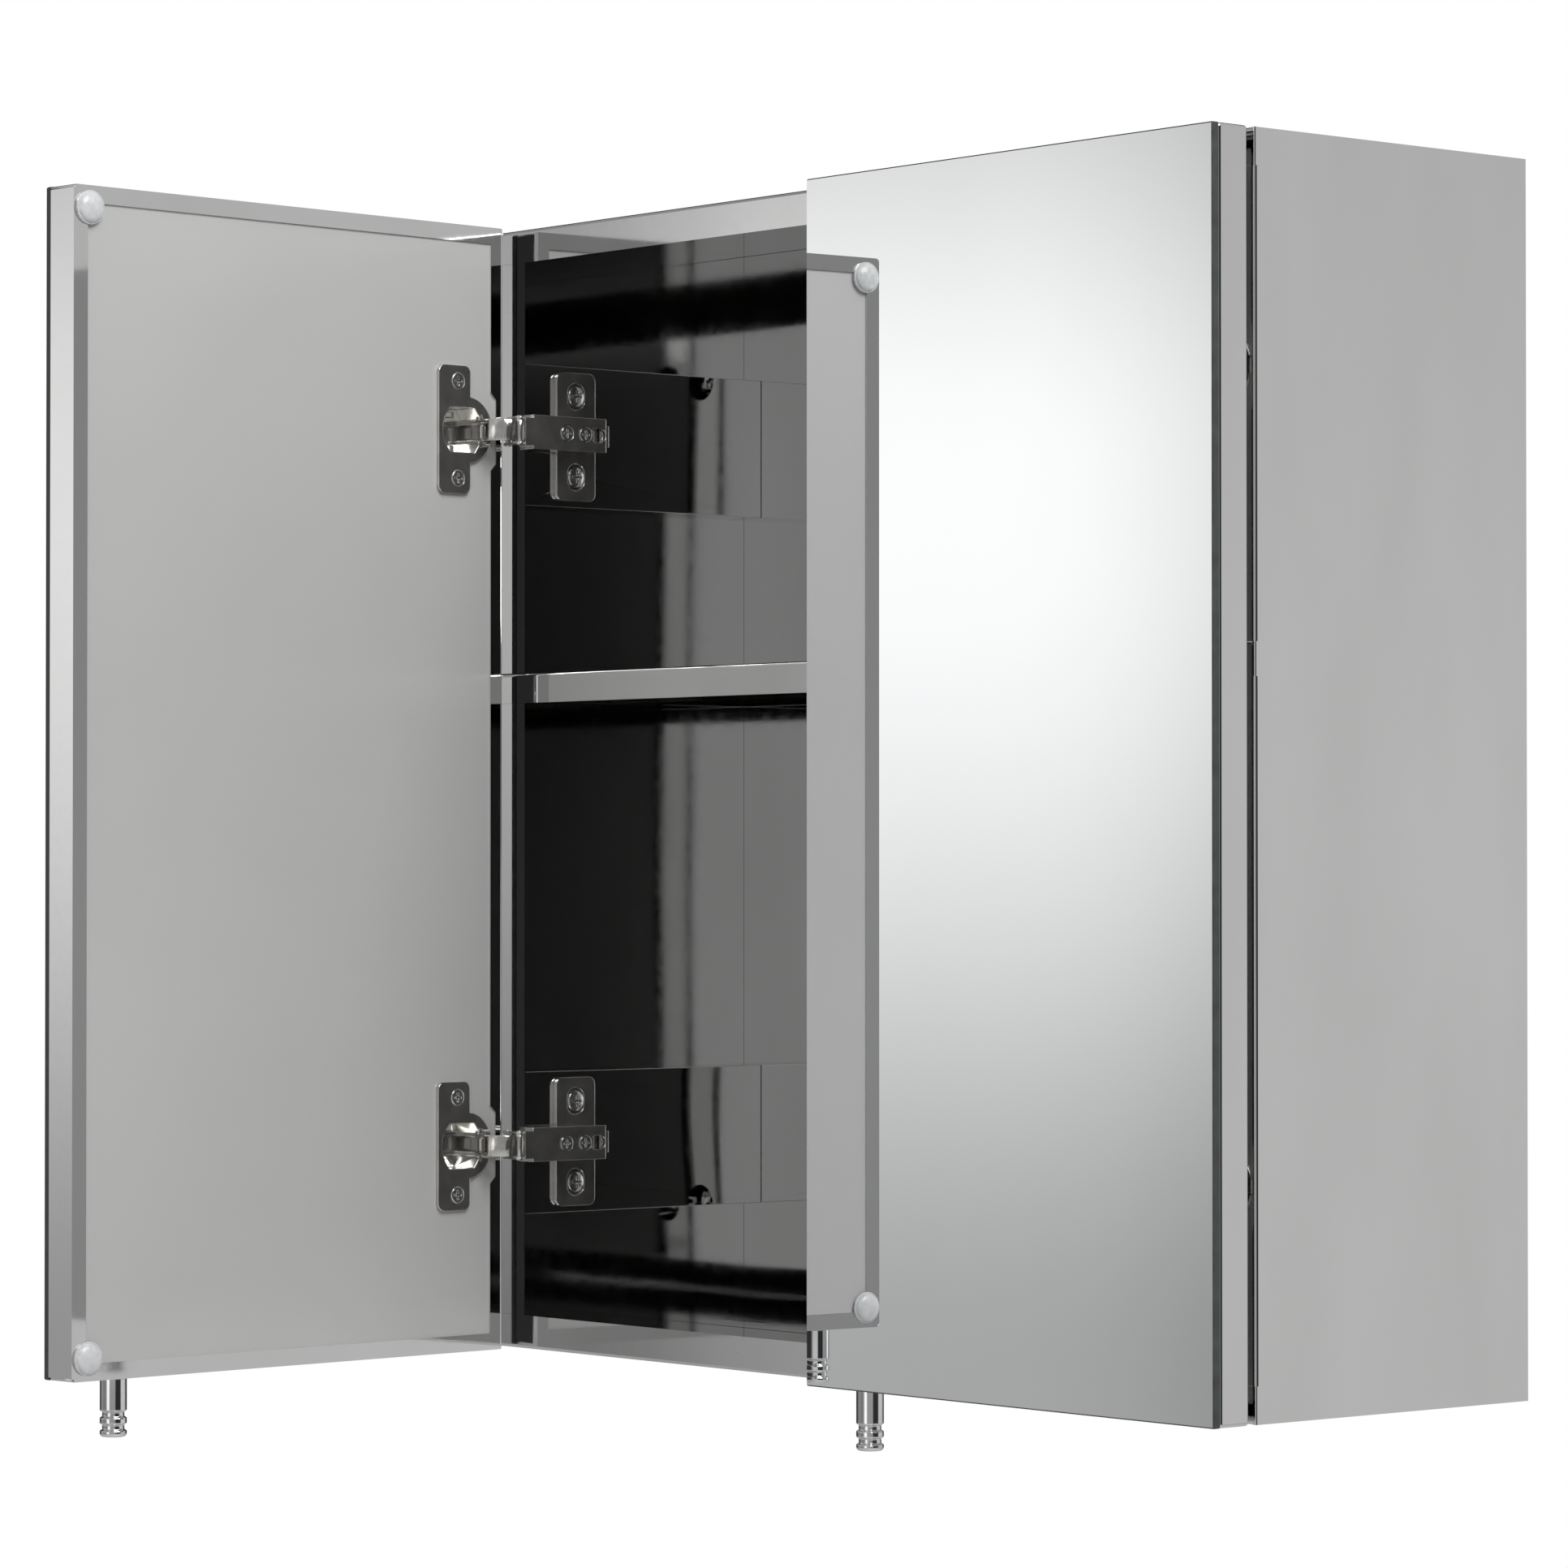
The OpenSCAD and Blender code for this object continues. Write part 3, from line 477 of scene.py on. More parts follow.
def fillet(points: np.ndarray, radii: list, steps: int = 5, guard: float = 0.05 * MM) -> np.ndarray:
    """Rounds the inner corners of an open line.

    At each corner the arc's centre lies on the corner's bisector, at radius / sin(half angle), and
    the arc is spanned by turning from one tangent point to the other. A guard point just outside
    each end of the arc keeps the flats' shading flat.

    Args:
        points: the line's corners, one row of two coordinates each.
        radii: the radius at each inner corner.
        steps: faces along each arc.
        guard: distance of the guard points from the arc.
    Returns:
        The rounded line's points.
    """
    pieces = [points[:1]]
    for before, corner, after, radius in zip(points, points[1:], points[2:], radii):
        back = (before - corner) / np.linalg.norm(before - corner)
        ahead = (after - corner) / np.linalg.norm(after - corner)
        half = np.arccos(np.clip(back @ ahead, -1, 1)) / 2
        reach = radius / np.tan(half)
        middle = corner + (back + ahead) / np.linalg.norm(back + ahead) * radius / np.sin(half)
        share = np.linspace(0, 1, steps + 1)[:, None]
        start, end = corner + back * reach - middle, corner + ahead * reach - middle
        turn = np.pi - 2 * half
        arc = (np.sin((1 - share) * turn) * start + np.sin(share * turn) * end) / np.sin(turn)
        pieces += [(corner + back * (reach + guard))[None], middle + arc,
                   (corner + ahead * (reach + guard))[None]]
    return np.vstack(pieces + [points[-1:]])


def beside(points: np.ndarray, gap: float) -> np.ndarray:
    """Runs a line beside an open line, to its left, with mitred corners.

    Each point moves along the mean of its two edges' left normals, by gap over the cosine of half
    the turn, which is gap * (n1 + n2) / (1 + n1.n2).

    Args:
        points: the line's corners.
        gap: distance between the two lines.
    Returns:
        The new line's corners.
    """
    edge = np.diff(points, axis=0)
    normal = np.stack([-edge[:, 1], edge[:, 0]], 1) / np.linalg.norm(edge, axis=1)[:, None]
    first, second = np.vstack([normal[:1], normal]), np.vstack([normal, normal[-1:]])
    scale = 1 + np.sum(first * second, 1)
    return points + gap * (first + second) / scale[:, None]


def sheet_section(points: np.ndarray, thickness: float, radius: float) -> np.ndarray:
    """Cross-section of a folded sheet: its outer line rounded, and back along its inner line.

    Args:
        points: the sheet's outer corners, with the metal to the left of the line.
        thickness: thickness of the sheet.
        radius: outer radius of every fold.
    Returns:
        A closed outline, as rows of two coordinates.
    """
    folds = len(points) - 2
    inner_radius = max(radius - thickness, SHARPEST)
    outer = fillet(points, [radius] * folds)
    inner = fillet(beside(points, thickness), [inner_radius] * folds)
    return np.vstack([outer, inner[::-1]])


def bands(n: int, m: int) -> list:
    """Quads between m closed rings of n points each.

    Quad (k, i) joins points i and i + 1 of ring k to the same points of ring k + 1, going round.

    Args:
        n: points in a ring.
        m: rings, one after the other.
    Returns:
        The faces, ring by ring.
    """
    k, i = np.meshgrid(np.arange(m - 1) * n, np.arange(n), indexing="ij")
    j = (i + 1) % n
    return np.stack([k + i, k + j, k + n + j, k + n + i], -1).reshape(-1, 4).tolist()


def prism(section: np.ndarray, stations: np.ndarray) -> tuple:
    """Carries a closed outline along a straight axis.

    Vertex (k, i) is outline point i at station k.

    Args:
        section: the outline, as rows of two coordinates.
        stations: places along the third axis.
    Returns:
        Points as rows of (first, second, third axis), and faces.
    """
    n, m = len(section), len(stations)
    points = np.concatenate([np.tile(section, (m, 1)), np.repeat(stations, n)[:, None]], 1)
    return points, bands(n, m) + [list(range(n))[::-1], list(range((m - 1) * n, m * n))]


def lathe(profile: np.ndarray, sides: int = 48) -> tuple:
    """Turns a profile round the third axis.

    Vertex (i, a) is (r cos a, r sin a, h) for profile point i with radius r and height h; the first
    and the last point lie on the axis and become single poles.

    Args:
        profile: rows of (radius, height), the first and the last with radius 0.
        sides: faces round the axis.
    Returns:
        Points and faces.
    """
    angle = np.arange(sides) * 2 * np.pi / sides
    ring = profile[1:-1]
    x, y = ring[:, :1] * np.cos(angle), ring[:, :1] * np.sin(angle)
    z = np.repeat(ring[:, 1:], sides, 1)
    points = np.stack([x, y, z], -1).reshape(-1, 3)
    poles = np.array([[0, 0, profile[0, 1]], [0, 0, profile[-1, 1]]])
    here = np.arange(sides)
    following = (here + 1) % sides
    low, top = np.full(sides, len(points)), (len(ring) - 1) * sides
    fans = np.vstack([np.stack([low, following, here], 1),
                      np.stack([low + 1, top + here, top + following], 1)])
    return np.vstack([points, poles]), bands(sides, len(ring)) + fans.tolist()


def joined(*parts: tuple) -> tuple:
    """Puts several meshes' points and faces into one.

    Args:
        *parts: pairs of points and faces.
    Returns:
        The points and the faces of them all.
    """
    starts = np.cumsum([0] + [len(p) for p, _ in parts[:-1]]).tolist()
    faces = [[v + s for v in f] for s, (_, fs) in zip(starts, parts) for f in fs]
    return np.vstack([p for p, _ in parts]), faces


def piece(name: str, shape: tuple, material: bpy.types.Material,
          turned: bool = False) -> bpy.types.Object:
    """Makes an object at the origin from points in the row's frame.

    Args:
        name: the piece's name.
        shape: points and faces.
        material: the finish.
        turned: whether the faces look inwards and have to be turned round.
    Returns:
        The new object.
    """
    points, faces = shape
    if turned:
        faces = [f[::-1] for f in faces]
    mesh = bpy.data.meshes.new(name)
    mesh.from_pydata(points.tolist(), [], faces)
    mesh.materials.append(material)
    mesh.polygons.foreach_set("use_smooth", [True] * len(mesh.polygons))
    mesh.set_sharp_from_angle(angle=SMOOTH_BELOW)
    mesh.update()
    obj = bpy.data.objects.new(name, mesh)
    bpy.context.scene.collection.objects.link(obj)
    return obj


def eased_copy(node: str, name: str, material: bpy.types.Material,
               width: float) -> bpy.types.Object:
    """Copies a CAD node's mesh, merges it and rounds its sharp edges.

    Args:
        node: the CAD node.
        name: the piece's name.
        material: the finish.
        width: width of the rounding.
    Returns:
        The new object.
    """
    obj = bpy.data.objects.new(name, frame["nodes"][node].data.copy())
    bpy.context.scene.collection.objects.link(obj)
    obj.data.materials.clear()
    obj.data.materials.append(material)
    weld = obj.modifiers.new("weld", "WELD")
    weld.merge_threshold = SAME_PLACE
    bevel = obj.modifiers.new("ease", "BEVEL")
    bevel.width = width
    bevel.segments = 2
    bevel.limit_method = "ANGLE"
    bevel.angle_limit = SMOOTH_BELOW
    bevel.harden_normals = True
    bevel.miter_outer = "MITER_ARC"
    return obj


def fit_out(obj: bpy.types.Object, body: str, slot: str, *nodes: str) -> bpy.types.Object:
    """Rides a piece on its body and hides the CAD nodes that it stands for.

    Args:
        obj: the piece.
        body: the body that carries it.
        slot: the material slot in the record; not used.
        *nodes: the CAD nodes that it replaces.
    Returns:
        The same piece.
    """
    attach(obj, body)
    if nodes:
        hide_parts(*nodes)
    LOG.info("%s rides on %s, %d faces", obj.name, body, len(obj.data.polygons))
    return obj


def dress(node: str, material: bpy.types.Material) -> None:
    """Gives a CAD node a finish and leaves its shape as it is.

    Args:
        node: the CAD node.
        material: the finish.
    """
    mesh = frame["nodes"][node].data
    mesh.materials.clear()
    mesh.materials.append(material)
    LOG.info("%s keeps its shape, in %s", node, material.name)


# ---- body ----


@dataclass
class Body:
    """The folded cabinet: panels, shelf, back and hinge channels."""

    finishes: Finishes
    thickness: float = 0.7 * MM
    fold: float = 1.3 * MM
    most_fold: float = 0.9
    gap: float = 0.08 * MM
    hem_share: float = 0.9
    lip_inset: float = 2 * MM
    channel_ease: float = 0.35 * MM

    def build(self) -> None:
        """Builds every visible piece of the body."""
        self.side_panel(Side.LEFT)
        self.side_panel(Side.RIGHT)
        self.end_panel("top_panel", 1)
        self.end_panel("bottom_panel", -1)
        self.shelf()
        self.back()
        self.channels()

    def side_panel(self, side: Side) -> None:
        """A wall with its front flange, and a strip of wall above and below the flange.

        The section is an L carried up Z; at the shelf the flange is cut back to the fold.

        Args:
            side: which side of the body.
        """
        node = f"{side.value}_side_panel"
        low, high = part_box(node)
        sign = -1 if side is Side.LEFT else 1
        wall = low.x if side is Side.LEFT else high.x
        shelf_low, shelf_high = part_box("shelf")
        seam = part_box("top_panel")[0].z - self.gap
        cut, flange = self.thickness + self.gap, high.x - low.x
        under, over = shelf_low.z - self.gap, shelf_high.z + self.gap
        zones = ((-high.z, -seam, cut), (-seam, under, flange), (under, over, cut),
                 (over, seam, flange), (seam, high.z, cut))
        parts = []
        for start, end, width in zones:
            corners = np.array([[wall, high.y], [wall, low.y], [wall - sign * width, low.y]])
            radius = min(self.fold, width * self.most_fold)
            section = sheet_section(corners, -sign * self.thickness, radius)
            parts.append(prism(section, np.array([start, end])))
        obj = piece(node + "_folded", joined(*parts), self.finishes.outer_steel, side is Side.LEFT)
        fit_out(obj, "cabinet", "polished_steel", node)

    def end_panel(self, node: str, up: int) -> None:
        """The top or bottom panel: a flat sheet with its front flange, carried along X.

        Args:
            node: the CAD node.
            up: 1 for the top panel and -1 for the bottom one.
        """
        low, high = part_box(node)
        outer = high.z if up > 0 else low.z
        inner = low.z if up > 0 else high.z
        corners = np.array([[high.y, outer], [low.y, outer], [low.y, inner]])
        section = sheet_section(corners, up * self.thickness, self.fold)
        inset = self.thickness + self.gap
        points, faces = prism(section, np.array([low.x + inset, high.x - inset]))
        shape = points[:, [2, 0, 1]], faces
        obj = piece(node + "_folded", shape, self.finishes.outer_steel, up < 0)
        fit_out(obj, "cabinet", "polished_steel", node)

    def shelf(self) -> None:
        """The shelf: a sheet with a front and a rear lip, carried along X, and two side lips."""
        low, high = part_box("shelf")
        hem = high.z - (high.z - low.z) * self.hem_share
        corners = np.array([[low.y, low.z], [low.y, high.z], [high.y, high.z], [high.y, hem]])
        section = sheet_section(corners, -self.thickness, self.fold)
        points, faces = prism(section, np.array([low.x, high.x]))
        front, rear = low.y + self.lip_inset, high.y - self.lip_inset
        under = high.z - self.thickness
        strip = np.array([[front, hem], [rear, hem], [rear, under], [front, under]])
        parts = [(points, faces)] + [prism(strip, np.array([x, x + self.thickness]))
                                     for x in (low.x, high.x - self.thickness)]
        points, faces = joined(*parts)
        shape = points[:, [2, 0, 1]], faces
        fit_out(piece("shelf_folded", shape, self.finishes.inner_steel, True),
                "cabinet", "polished_steel", "shelf")

    def back(self) -> None:
        """The back panel keeps its own shape, with its dished screw holes."""
        dress("back_panel", self.finishes.inner_steel)

    def channels(self) -> None:
        """The boxed channels that carry the hinges, with their edges eased."""
        for side in Side:
            for level in Level:
                node = f"{side.value}_{level.value}_channel"
                obj = eased_copy(node, node + "_eased", self.finishes.inner_steel,
                                 self.channel_ease)
                fit_out(obj, "cabinet", "polished_steel", node)


# ---- doors ----


@dataclass
class DoorPlace:
    """Where a door stands: its axes run from the hinge edge, from the glass inwards, and up."""

    side: Side
    shell: float = 14 * MM

    def __post_init__(self) -> None:
        """Finds the door's axes from the footprint of its mirror glass.

        The footprint is a rectangle. Its corner nearest the pivot lies on the shell, and the next
        nearest on the front, which gives the depth axis. The width axis runs to the farthest
        corner that is level with the first.
        """
        mesh = frame["nodes"][f"{self.side.value}_mirror_glass"].data
        points = np.array([v.co[:] for v in mesh.vertices])
        foot = np.unique(np.round(points[:, :2], 6), axis=0)
        shell_low, shell_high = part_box(f"{self.side.value}_door_shell")
        hinge = f"{self.side.value}_door_pivot"
        pivot = next(joint["pos_m"] for joint in frame["joints"] if joint["name"] == hinge)
        order = np.argsort(np.linalg.norm(foot - np.array(pivot[:2]), axis=1))
        inner, outer = foot[order[0]], foot[order[1]]
        self.glass = float(np.linalg.norm(inner - outer))
        self.deep = (inner - outer) / self.glass
        reach = np.linalg.norm(foot - inner, axis=1)
        level = np.abs((foot - inner) @ self.deep) < self.glass / 2
        far = np.argmax(reach * level)
        self.width = float(reach[far])
        self.along = (foot[far] - inner) / self.width
        self.corner = inner + self.deep * self.shell
        self.low, self.high = shell_low.z, shell_high.z
        self.flipped = self.along[0] * self.deep[1] - self.along[1] * self.deep[0] < 0

    def world(self, points: np.ndarray) -> np.ndarray:
        """Takes points from the door's axes to the row's frame.

        Args:
            points: rows of (from the hinge edge, from the inner face towards the wall, up).
        Returns:
            The same points in the row's frame.
        """
        flat = self.corner + points[:, :1] * self.along + points[:, 1:2] * self.deep
        return np.concatenate([flat, points[:, 2:]], 1)


@dataclass
class Door:
    """A door: mirror glass, steel shell, back sheet, knob and bumpers."""

    side: Side
    finishes: Finishes
    fold: float = 1.3 * MM
    fold_faces: int = 4
    chamfer: float = 0.5 * MM
    knob_ring: float = 2.4 * MM
    knob_groove: float = 0.9 * MM
    knob_wall: float = 0.15
    knob_edge: float = 0.25 * MM
    knob_ease: float = 0.3 * MM
    knob_round: float = 1.3 * MM
    bumper_r: float = 6.35 * MM
    bumper_h: float = 3.6 * MM
    bumper_foot: float = 1.2 * MM
    bumper_step: float = 0.6 * MM
    bumper_edge: float = 0.2 * MM
    bumper_side: float = 7.1 * MM
    bumper_end: float = 8.3 * MM

    def build(self) -> None:
        """Builds every visible piece of the door."""
        self.place = DoorPlace(self.side)
        self.name = self.side.value
        self.body = f"{self.name}_door"
        self.mirror_glass()
        self.shell()
        dress(f"{self.name}_back_sheet", self.finishes.lacquer)
        dress(f"{self.name}_core_board", self.finishes.board)
        dress(f"{self.name}_knob_screw", self.finishes.zinc)
        self.knob()
        self.bumpers()

    def make(self, name: str, shape: tuple, material: bpy.types.Material) -> bpy.types.Object:
        """Makes a piece from points in the door's own axes.

        Args:
            name: the piece's name, without the door's.
            shape: points and faces.
            material: the finish.
        Returns:
            The new object.
        """
        points, faces = shape
        return piece(f"{self.name}_{name}", (self.place.world(points), faces), material,
                     self.place.flipped)

    def mirror_glass(self) -> None:
        """A slab with cut front corners, as four outlines carried up Z.

        The two middle outlines are the full section, and the two end ones are drawn in by the cut.
        """
        p, cut = self.place, self.chamfer
        front, rear, far = -p.shell - p.glass, -p.shell, p.width - cut
        full = [[cut, front], [far, front], [p.width, front + cut], [p.width, rear], [0, rear],
                [0, front + cut]]
        drawn_in = [[cut, front + cut], [far, front + cut], [far, front + cut], [far, rear],
                    [cut, rear], [cut, front + cut]]
        levels = ((p.low, drawn_in), (p.low + cut, full), (p.high - cut, full), (p.high, drawn_in))
        points = np.vstack([np.insert(outline, 2, z, axis=1) for z, outline in levels])
        n, m = len(full), len(levels)
        faces = bands(n, m) + [list(range(n))[::-1], list(range((m - 1) * n, m * n))]
        front_face = n
        obj = self.make("mirror", (points, faces), self.finishes.glass_edge)
        obj.data.materials.append(self.finishes.mirror)
        weld = obj.modifiers.new("weld", "WELD")
        weld.merge_threshold = 0.001 * MM
        obj.data.polygons.foreach_set("use_smooth", [False] * len(obj.data.polygons))
        obj.data.polygons[front_face].material_index = 1
        fit_out(obj, self.body, "mirror_glass", f"{self.name}_mirror_glass")

    def shell(self) -> None:
        """The folded tray, copied from its node, with its outer folds rounded.

        An edge is an outer fold when both its ends lie on two of the shell's six outer planes.
        """
        node = f"{self.name}_door_shell"
        obj = eased_copy(node, f"{self.name}_shell_folded", self.finishes.outer_steel, self.fold)
        mesh = obj.data
        co = np.empty(len(mesh.vertices) * 3, np.float32)
        mesh.vertices.foreach_get("co", co)
        co = co.reshape(-1, 3)
        merged, where = np.unique(np.round(co, 6), axis=0, return_inverse=True)
        p = self.place
        flat = merged[:, :2] - p.corner
        s, v, z = flat @ p.along, flat @ p.deep, merged[:, 2]
        near = 0.01 * MM
        planes = np.stack([abs(s), abs(s - p.width), abs(v), abs(v + p.shell),
                           abs(z - p.low), abs(z - p.high)]) < near
        loops = np.empty(len(mesh.loops), np.int32)
        mesh.loops.foreach_get("vertex_index", loops)
        faces = where.reshape(-1)[loops].reshape(-1, 3)
        clean = bpy.data.meshes.new(node + "_merged")
        clean.from_pydata(merged.tolist(), [], faces.tolist())
        clean.materials.append(self.finishes.outer_steel)
        clean.polygons.foreach_set("use_smooth", [True] * len(clean.polygons))
        ends = np.empty(len(clean.edges) * 2, np.int32)
        clean.edges.foreach_get("vertices", ends)
        a, b = ends.reshape(-1, 2).T
        fold = (np.sum(planes[:, a] & planes[:, b], 0) >= 2).astype(np.float32)
        weight = clean.attributes.new("bevel_weight_edge", "FLOAT", "EDGE")
        weight.data.foreach_set("value", fold)
        clean.set_sharp_from_angle(angle=SMOOTH_BELOW)
        obj.data = clean
        bevel = obj.modifiers["ease"]
        bevel.limit_method = "WEIGHT"
        bevel.segments = self.fold_faces
        bevel.use_clamp_overlap = False
        fit_out(obj, self.body, "polished_steel", node)

    def knob(self) -> None:
        """The turned pull knob: a plain shank, two ringed grooves and a domed foot."""
        node = f"{self.name}_knob"
        low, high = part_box(node)
        middle = (low + high) / 2
        radius = (high.x - low.x) / 2
        ring, edge, ease, foot = self.knob_ring, self.knob_edge, self.knob_ease, low.z
        neck, wall = radius - self.knob_groove, ring * self.knob_wall
        line = [[0, high.z], [radius - ease, high.z], [radius, high.z - ease]]
        for base in (foot + 3 * ring, foot + ring):
            line += [[radius, base + ring + edge], [radius - edge, base + ring],
                     [neck, base + ring - wall], [neck, base + wall],
                     [radius - edge, base], [radius, base - edge]]
        line = np.array(line + [[radius, foot], [0, foot]])
        radii = [edge] + [ease] * (len(line) - 4) + [self.knob_round]
        profile = fillet(line, radii, steps=4, guard=0.01 * MM)
        points, faces = lathe(profile[::-1], sides=64)
        points[:, 0] += middle.x
        points[:, 1] += middle.y
        obj = piece(node + "_turned", (points, faces), self.finishes.chrome)
        fit_out(obj, self.body, "knob_chrome", node)

    def bumpers(self) -> None:
        """Two domed bumpers: a foot, a small step and a dome, turned about the door's depth axis.

        The dome's profile is (r cos a, foot + h sin a) for a from 0 to a right angle.
        """
        p = self.place
        radius, foot, edge = self.bumper_r, self.bumper_foot, self.bumper_edge
        angle = np.linspace(0, np.pi / 2, 9)[:-1]
        dome = np.stack([(radius - self.bumper_step) * np.cos(angle),
                         foot + (self.bumper_h - foot) * np.sin(angle)], 1)
        lower = np.array([[0, 0], [radius - edge / 2, 0], [radius, edge], [radius, foot - edge],
                          [radius - edge, foot]])
        profile = np.vstack([lower, dome, [[0, self.bumper_h]]])
        points, faces = lathe(profile)
        parts = []
        for up in (-1, 1):
            z = up * (p.high - self.bumper_end)
            spot = np.stack([p.width - self.bumper_side + points[:, 0], points[:, 2],
                             z - points[:, 1]], 1)
            parts.append((spot, faces))
        fit_out(self.make("bumpers_domed", joined(*parts), self.finishes.plastic),
                self.body, "bumper_plastic", f"{self.name}_bumpers")


# ---- hinges ----


@dataclass
class Hinge:
    """One cup hinge: cup, links, arm and mounting plate."""

    side: Side
    level: Level
    finishes: Finishes
    ease: float = 0.5 * MM

    def build(self) -> None:
        """Builds the hinge's visible pieces on the bodies that carry them."""
        name = f"{self.side.value}_{self.level.value}"
        side = self.side.value
        carried = {
            "plate": "cabinet", "arm": "cabinet", "cup": f"{side}_door",
            "outer_link": f"{side}_outer_links", "inner_link": f"{side}_inner_links",
        }
        for part, body in carried.items():
            node = f"{name}_{part}"
            fit_out(eased_copy(node, node + "_eased", self.finishes.nickel, self.ease),
                    body, "hinge_nickel", node)


@dataclass
class Fixings:
    """Screws, pins, eyes and springs, kept as their nodes are."""

    finishes: Finishes

    def build(self) -> None:
        """Dresses every small node in its plating."""
        for node in ("plate_screws", "side_adjusting_screws", "depth_adjusting_screws", "arm_pins"):
            dress(node, self.finishes.zinc)
        for side in Side:
            for part in ("cup_screws", "cup_pins", "cup_springs"):
                dress(f"{side.value}_{part}", self.finishes.zinc)
            dress(f"{side.value}_link_eyes", self.finishes.nickel)


# ---- studio ----


class Sky(Nodes):
    """The world's node tree, with brightness as a function of direction."""

    def __init__(self, name: str) -> None:
        """Makes an empty world.

        Args:
            name: the world's name.
        """
        self.world = bpy.data.worlds.new(name)
        self.world.use_nodes = True
        super().__init__(self.world.node_tree)
        self.way = self.add("ShaderNodeTexCoord").outputs["Generated"]

    def towards(self, direction: tuple) -> bpy.types.NodeSocket:
        """Cosine of the angle from a direction.

        Args:
            direction: the direction, of any length.
        Returns:
            The cosine.
        """
        node = self.add("ShaderNodeVectorMath", operation="DOT_PRODUCT")
        node.inputs[1].default_value = Vector(direction).normalized()
        self.join(self.way, node.inputs[0])
        return node.outputs["Value"]

    def ramp(self, value: bpy.types.NodeSocket, stops: tuple) -> bpy.types.NodeSocket:
        """Grey levels at stops, smoothly joined.

        Args:
            value: a value from -1 to 1.
            stops: pairs of a place from 0 to 1 and its grey, from 0 at value -1 to 1 at value 1.
        Returns:
            The grey.
        """
        fit = self.add("ShaderNodeMapRange", From_Min=-1)
        self.join(value, fit.inputs["Value"])
        node = self.add("ShaderNodeValToRGB")
        node.color_ramp.interpolation = "EASE"
        elements = node.color_ramp.elements
        for spot, grey in stops[1:-1]:
            elements.new(spot).color = (grey, grey, grey, 1)
        for element, (spot, grey) in zip((elements[0], elements[-1]), (stops[0], stops[-1])):
            element.position = spot
            element.color = (grey, grey, grey, 1)
        self.join(fit.outputs["Result"], node.inputs["Fac"])
        return node.outputs["Color"]

    def step(self, direction: tuple, levels: tuple) -> bpy.types.NodeSocket:
        """A level that changes smoothly with the cosine from a direction.

        Args:
            direction: the direction.
            levels: the cosines where the change starts and ends, and the levels before and after.
        Returns:
            The level.
        """
        start, end, first, last = levels
        node = self.add("ShaderNodeMapRange", interpolation_type="SMOOTHSTEP", From_Min=start,
                        From_Max=end, To_Min=first, To_Max=last)
        self.join(self.towards(direction), node.inputs["Value"])
        return node.outputs["Result"]

    def product(self, first: bpy.types.NodeSocket,
                *more: bpy.types.NodeSocket) -> bpy.types.NodeSocket:
        """Multiplies levels.

        Args:
            first: a level.
            *more: the other levels.
        Returns:
            The product.
        """
        for level in more:
            node = self.add("ShaderNodeVectorMath", operation="MULTIPLY")
            self.join(first, node.inputs[0])
            self.join(level, node.inputs[1])
            first = node.outputs["Vector"]
        return first


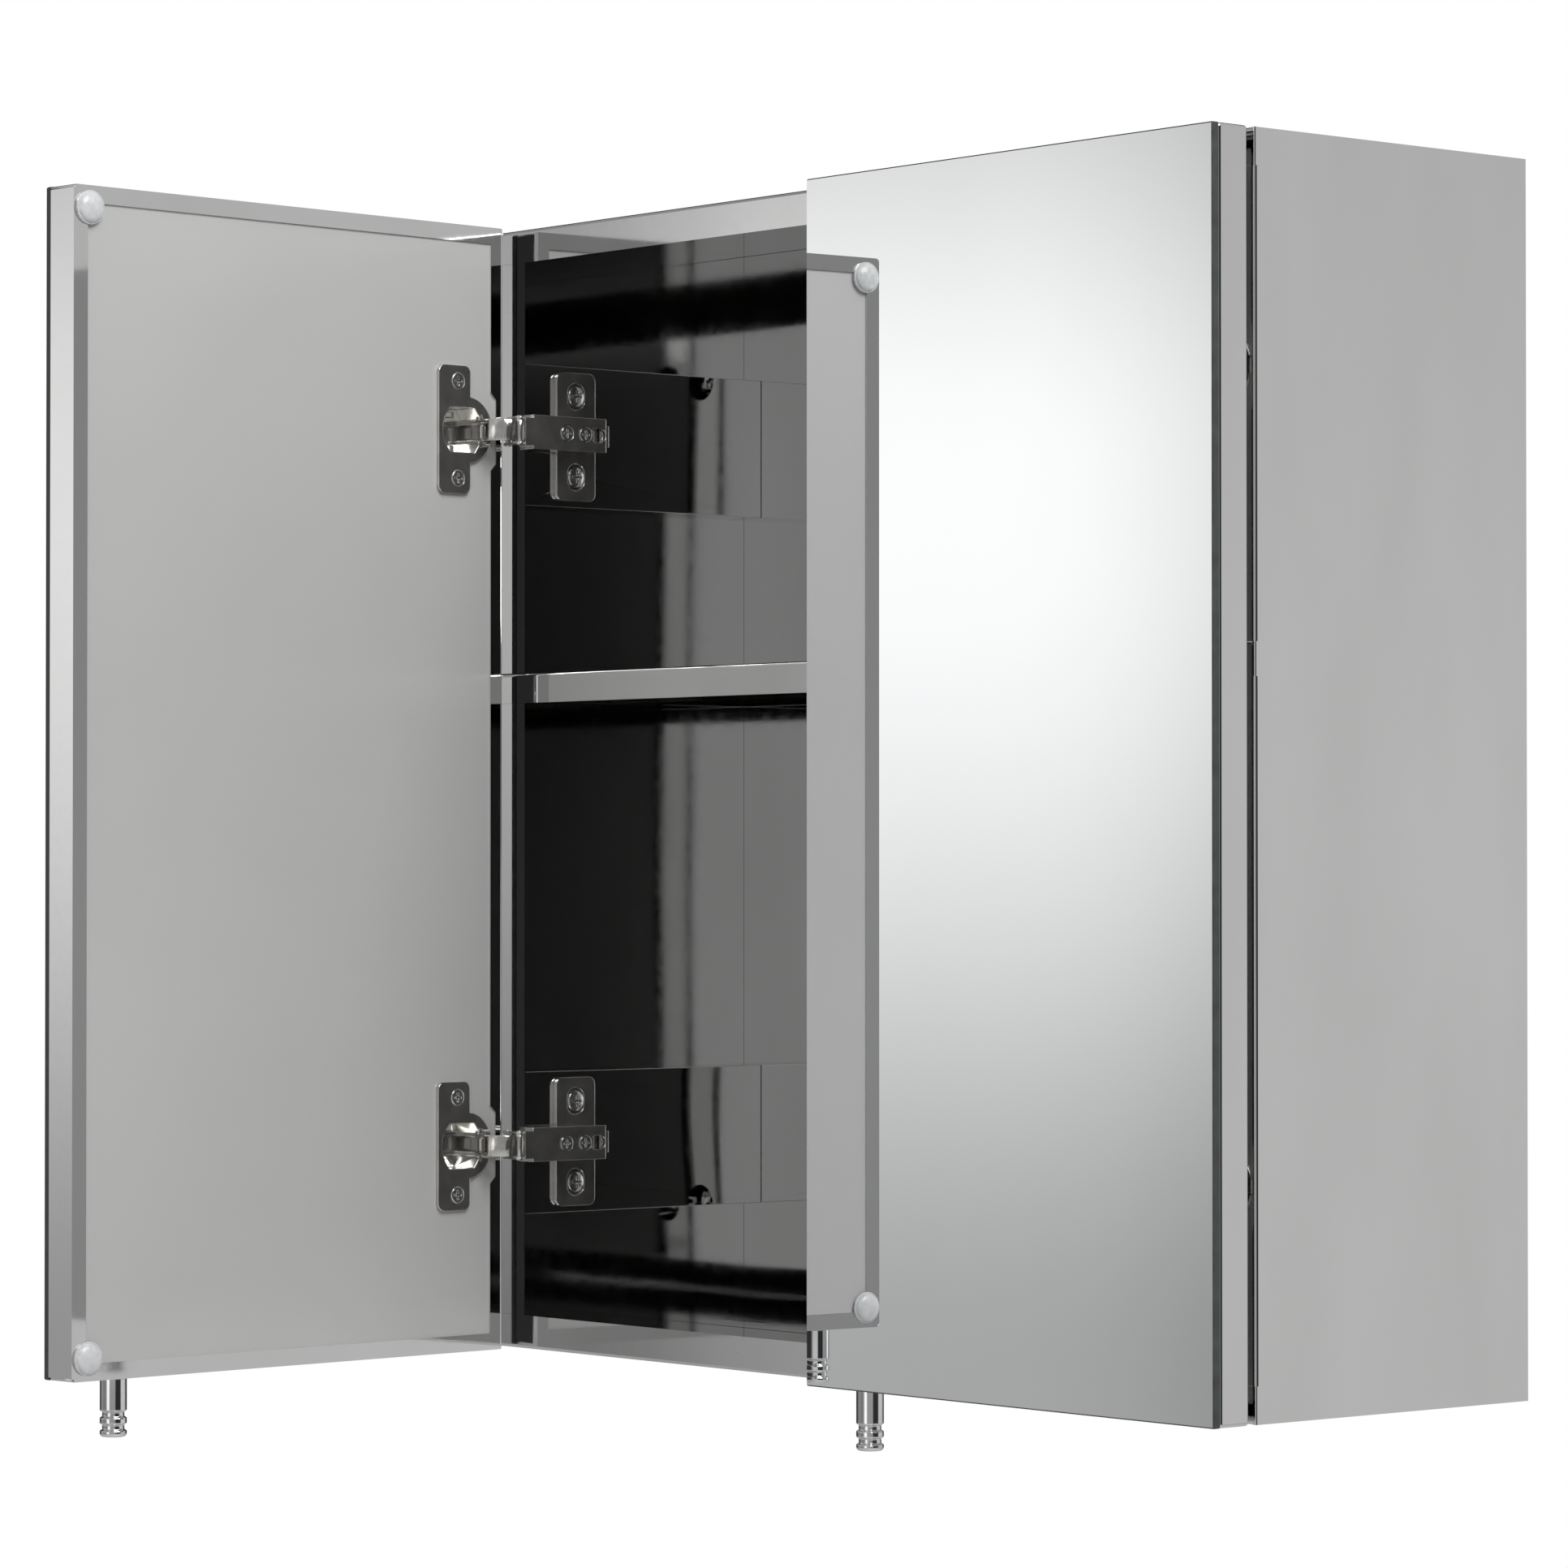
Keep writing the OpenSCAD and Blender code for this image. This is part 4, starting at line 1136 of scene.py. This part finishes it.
@dataclass
class Surroundings:
    """A soft white studio: how bright each direction is, as the polished sheets reflect it.

    Each tuple of levels holds the cosines where a change starts and ends, and the levels before
    and after it.
    """

    up: tuple = (0, 0, 1)
    panel_way: tuple = (-0.762, -0.647, 0)
    panel_share: tuple = (0.3, 0.8, 0.0, 1.0)
    panel_foot: tuple = (-0.09, 0.06, 0.43, 1.1)
    panel_top: tuple = (0.07, 0.16, 1.0, 0.6)
    across_way: tuple = (0.673, -0.74, 0)
    panel_right: tuple = (0.005, 0.085, 1.0, 0.55)
    panel_left: tuple = (-0.07, -0.03, 0.55, 1.0)
    room_greys: tuple = ((0, 0.55), (0.4, 0.64), (0.49, 0.68), (0.56, 0.63), (1, 0.6))
    gap_way: tuple = (0.99, 0.14, 0)
    gap_levels: tuple = (0.87, 0.94, 1.0, 0.05)
    rear_way: tuple = (-0.762, 0.647, 0)
    rear_levels: tuple = (0.35, 0.8, 1.0, 0.06)
    stand_way: tuple = (0.762, -0.647, 0)
    stand_levels: tuple = (0.78, 0.9, 1.0, 0.55)
    strip_way: tuple = (0.17, -0.985, 0)
    strip_levels: tuple = (0.95, 0.985, 1.0, 2.6)

    def build(self, scene: bpy.types.Scene) -> None:
        """Builds the world: a lit panel at the front left in an even room.

        The room is dark in a gap on the right and at the rear left, half dark where the camera
        stands, and bright in a strip at the front. The camera itself sees plain white.

        Args:
            scene: the scene that gets the world.
        """
        sky = Sky("studio")
        scene.world = sky.world
        panel = sky.product(sky.step(self.up, self.panel_foot), sky.step(self.up, self.panel_top),
                            sky.step(self.across_way, self.panel_right),
                            sky.step(self.across_way, self.panel_left))
        room = sky.ramp(sky.towards(self.up), self.room_greys)
        light = sky.product(sky.mix(sky.step(self.panel_way, self.panel_share), room, panel),
                            sky.step(self.stand_way, self.stand_levels),
                            sky.step(self.gap_way, self.gap_levels),
                            sky.step(self.rear_way, self.rear_levels),
                            sky.step(self.strip_way, self.strip_levels))
        seen = sky.mix(sky.add("ShaderNodeLightPath").outputs["Is Camera Ray"], light, (1, 1, 1))
        background = sky.add("ShaderNodeBackground")
        sky.join(seen, background.inputs["Color"])
        output = sky.add("ShaderNodeOutputWorld")
        sky.join(background.outputs["Background"], output.inputs["Surface"])


@dataclass
class Studio:
    """Camera, light and floor."""

    finishes: Finishes
    stand: tuple = (1.5636, -1.4951, -0.0330)
    heading: float = 49.655
    level: float = 90.0
    rise: float = 0.894
    lens: float = 129.6
    sensor: float = 36.0
    sight: float = 50.0
    box_place: tuple = (1.3, -0.4, 1.35)
    box_size: float = 1.1
    box_power: float = 30.0
    floor_z: float = -0.9
    floor_size: float = 6.0

    def build(self) -> None:
        """Sets up the camera, the surroundings, the light and the floor."""
        scene = bpy.context.scene
        scene.view_settings.view_transform = "Standard"
        camera = bpy.data.objects.new("camera", bpy.data.cameras.new("camera"))
        camera.data.lens = self.lens
        camera.data.sensor_width = self.sensor
        camera.data.clip_end = self.sight
        camera.location = self.stand
        tilt, turn = math.radians(self.level + self.rise), math.radians(self.heading)
        camera.rotation_euler = (tilt, 0, turn)
        scene.collection.objects.link(camera)
        scene.camera = camera
        Surroundings().build(scene)
        self.softbox()
        self.floor()

    def softbox(self) -> None:
        """A broad soft light from above the right-hand side."""
        lamp = bpy.data.lights.new("softbox", "AREA")
        lamp.size = self.box_size
        lamp.energy = self.box_power
        box = bpy.data.objects.new("softbox", lamp)
        box.location = self.box_place
        box.rotation_euler = (-Vector(self.box_place)).to_track_quat("-Z", "Y").to_euler()
        bpy.context.scene.collection.objects.link(box)

    def floor(self) -> None:
        """A plain pale floor, well below the cabinet."""
        half = self.floor_size / 2
        z = self.floor_z
        corners = np.array([[-half, -half, z], [half, -half, z], [half, half, z], [-half, half, z]])
        piece("floor", (corners, [[0, 1, 2, 3]]), self.finishes.floor)


def main() -> None:
    """Builds the cabinet's looks in order."""
    logging.basicConfig(level=logging.INFO, format="%(name)s: %(message)s")
    finishes = Finishes()
    Studio(finishes).build()
    Body(finishes).build()
    for side in Side:
        Door(side, finishes).build()
        for level in Level:
            Hinge(side, level, finishes).build()
    Fixings(finishes).build()


if __name__ == "__main__":
    main()
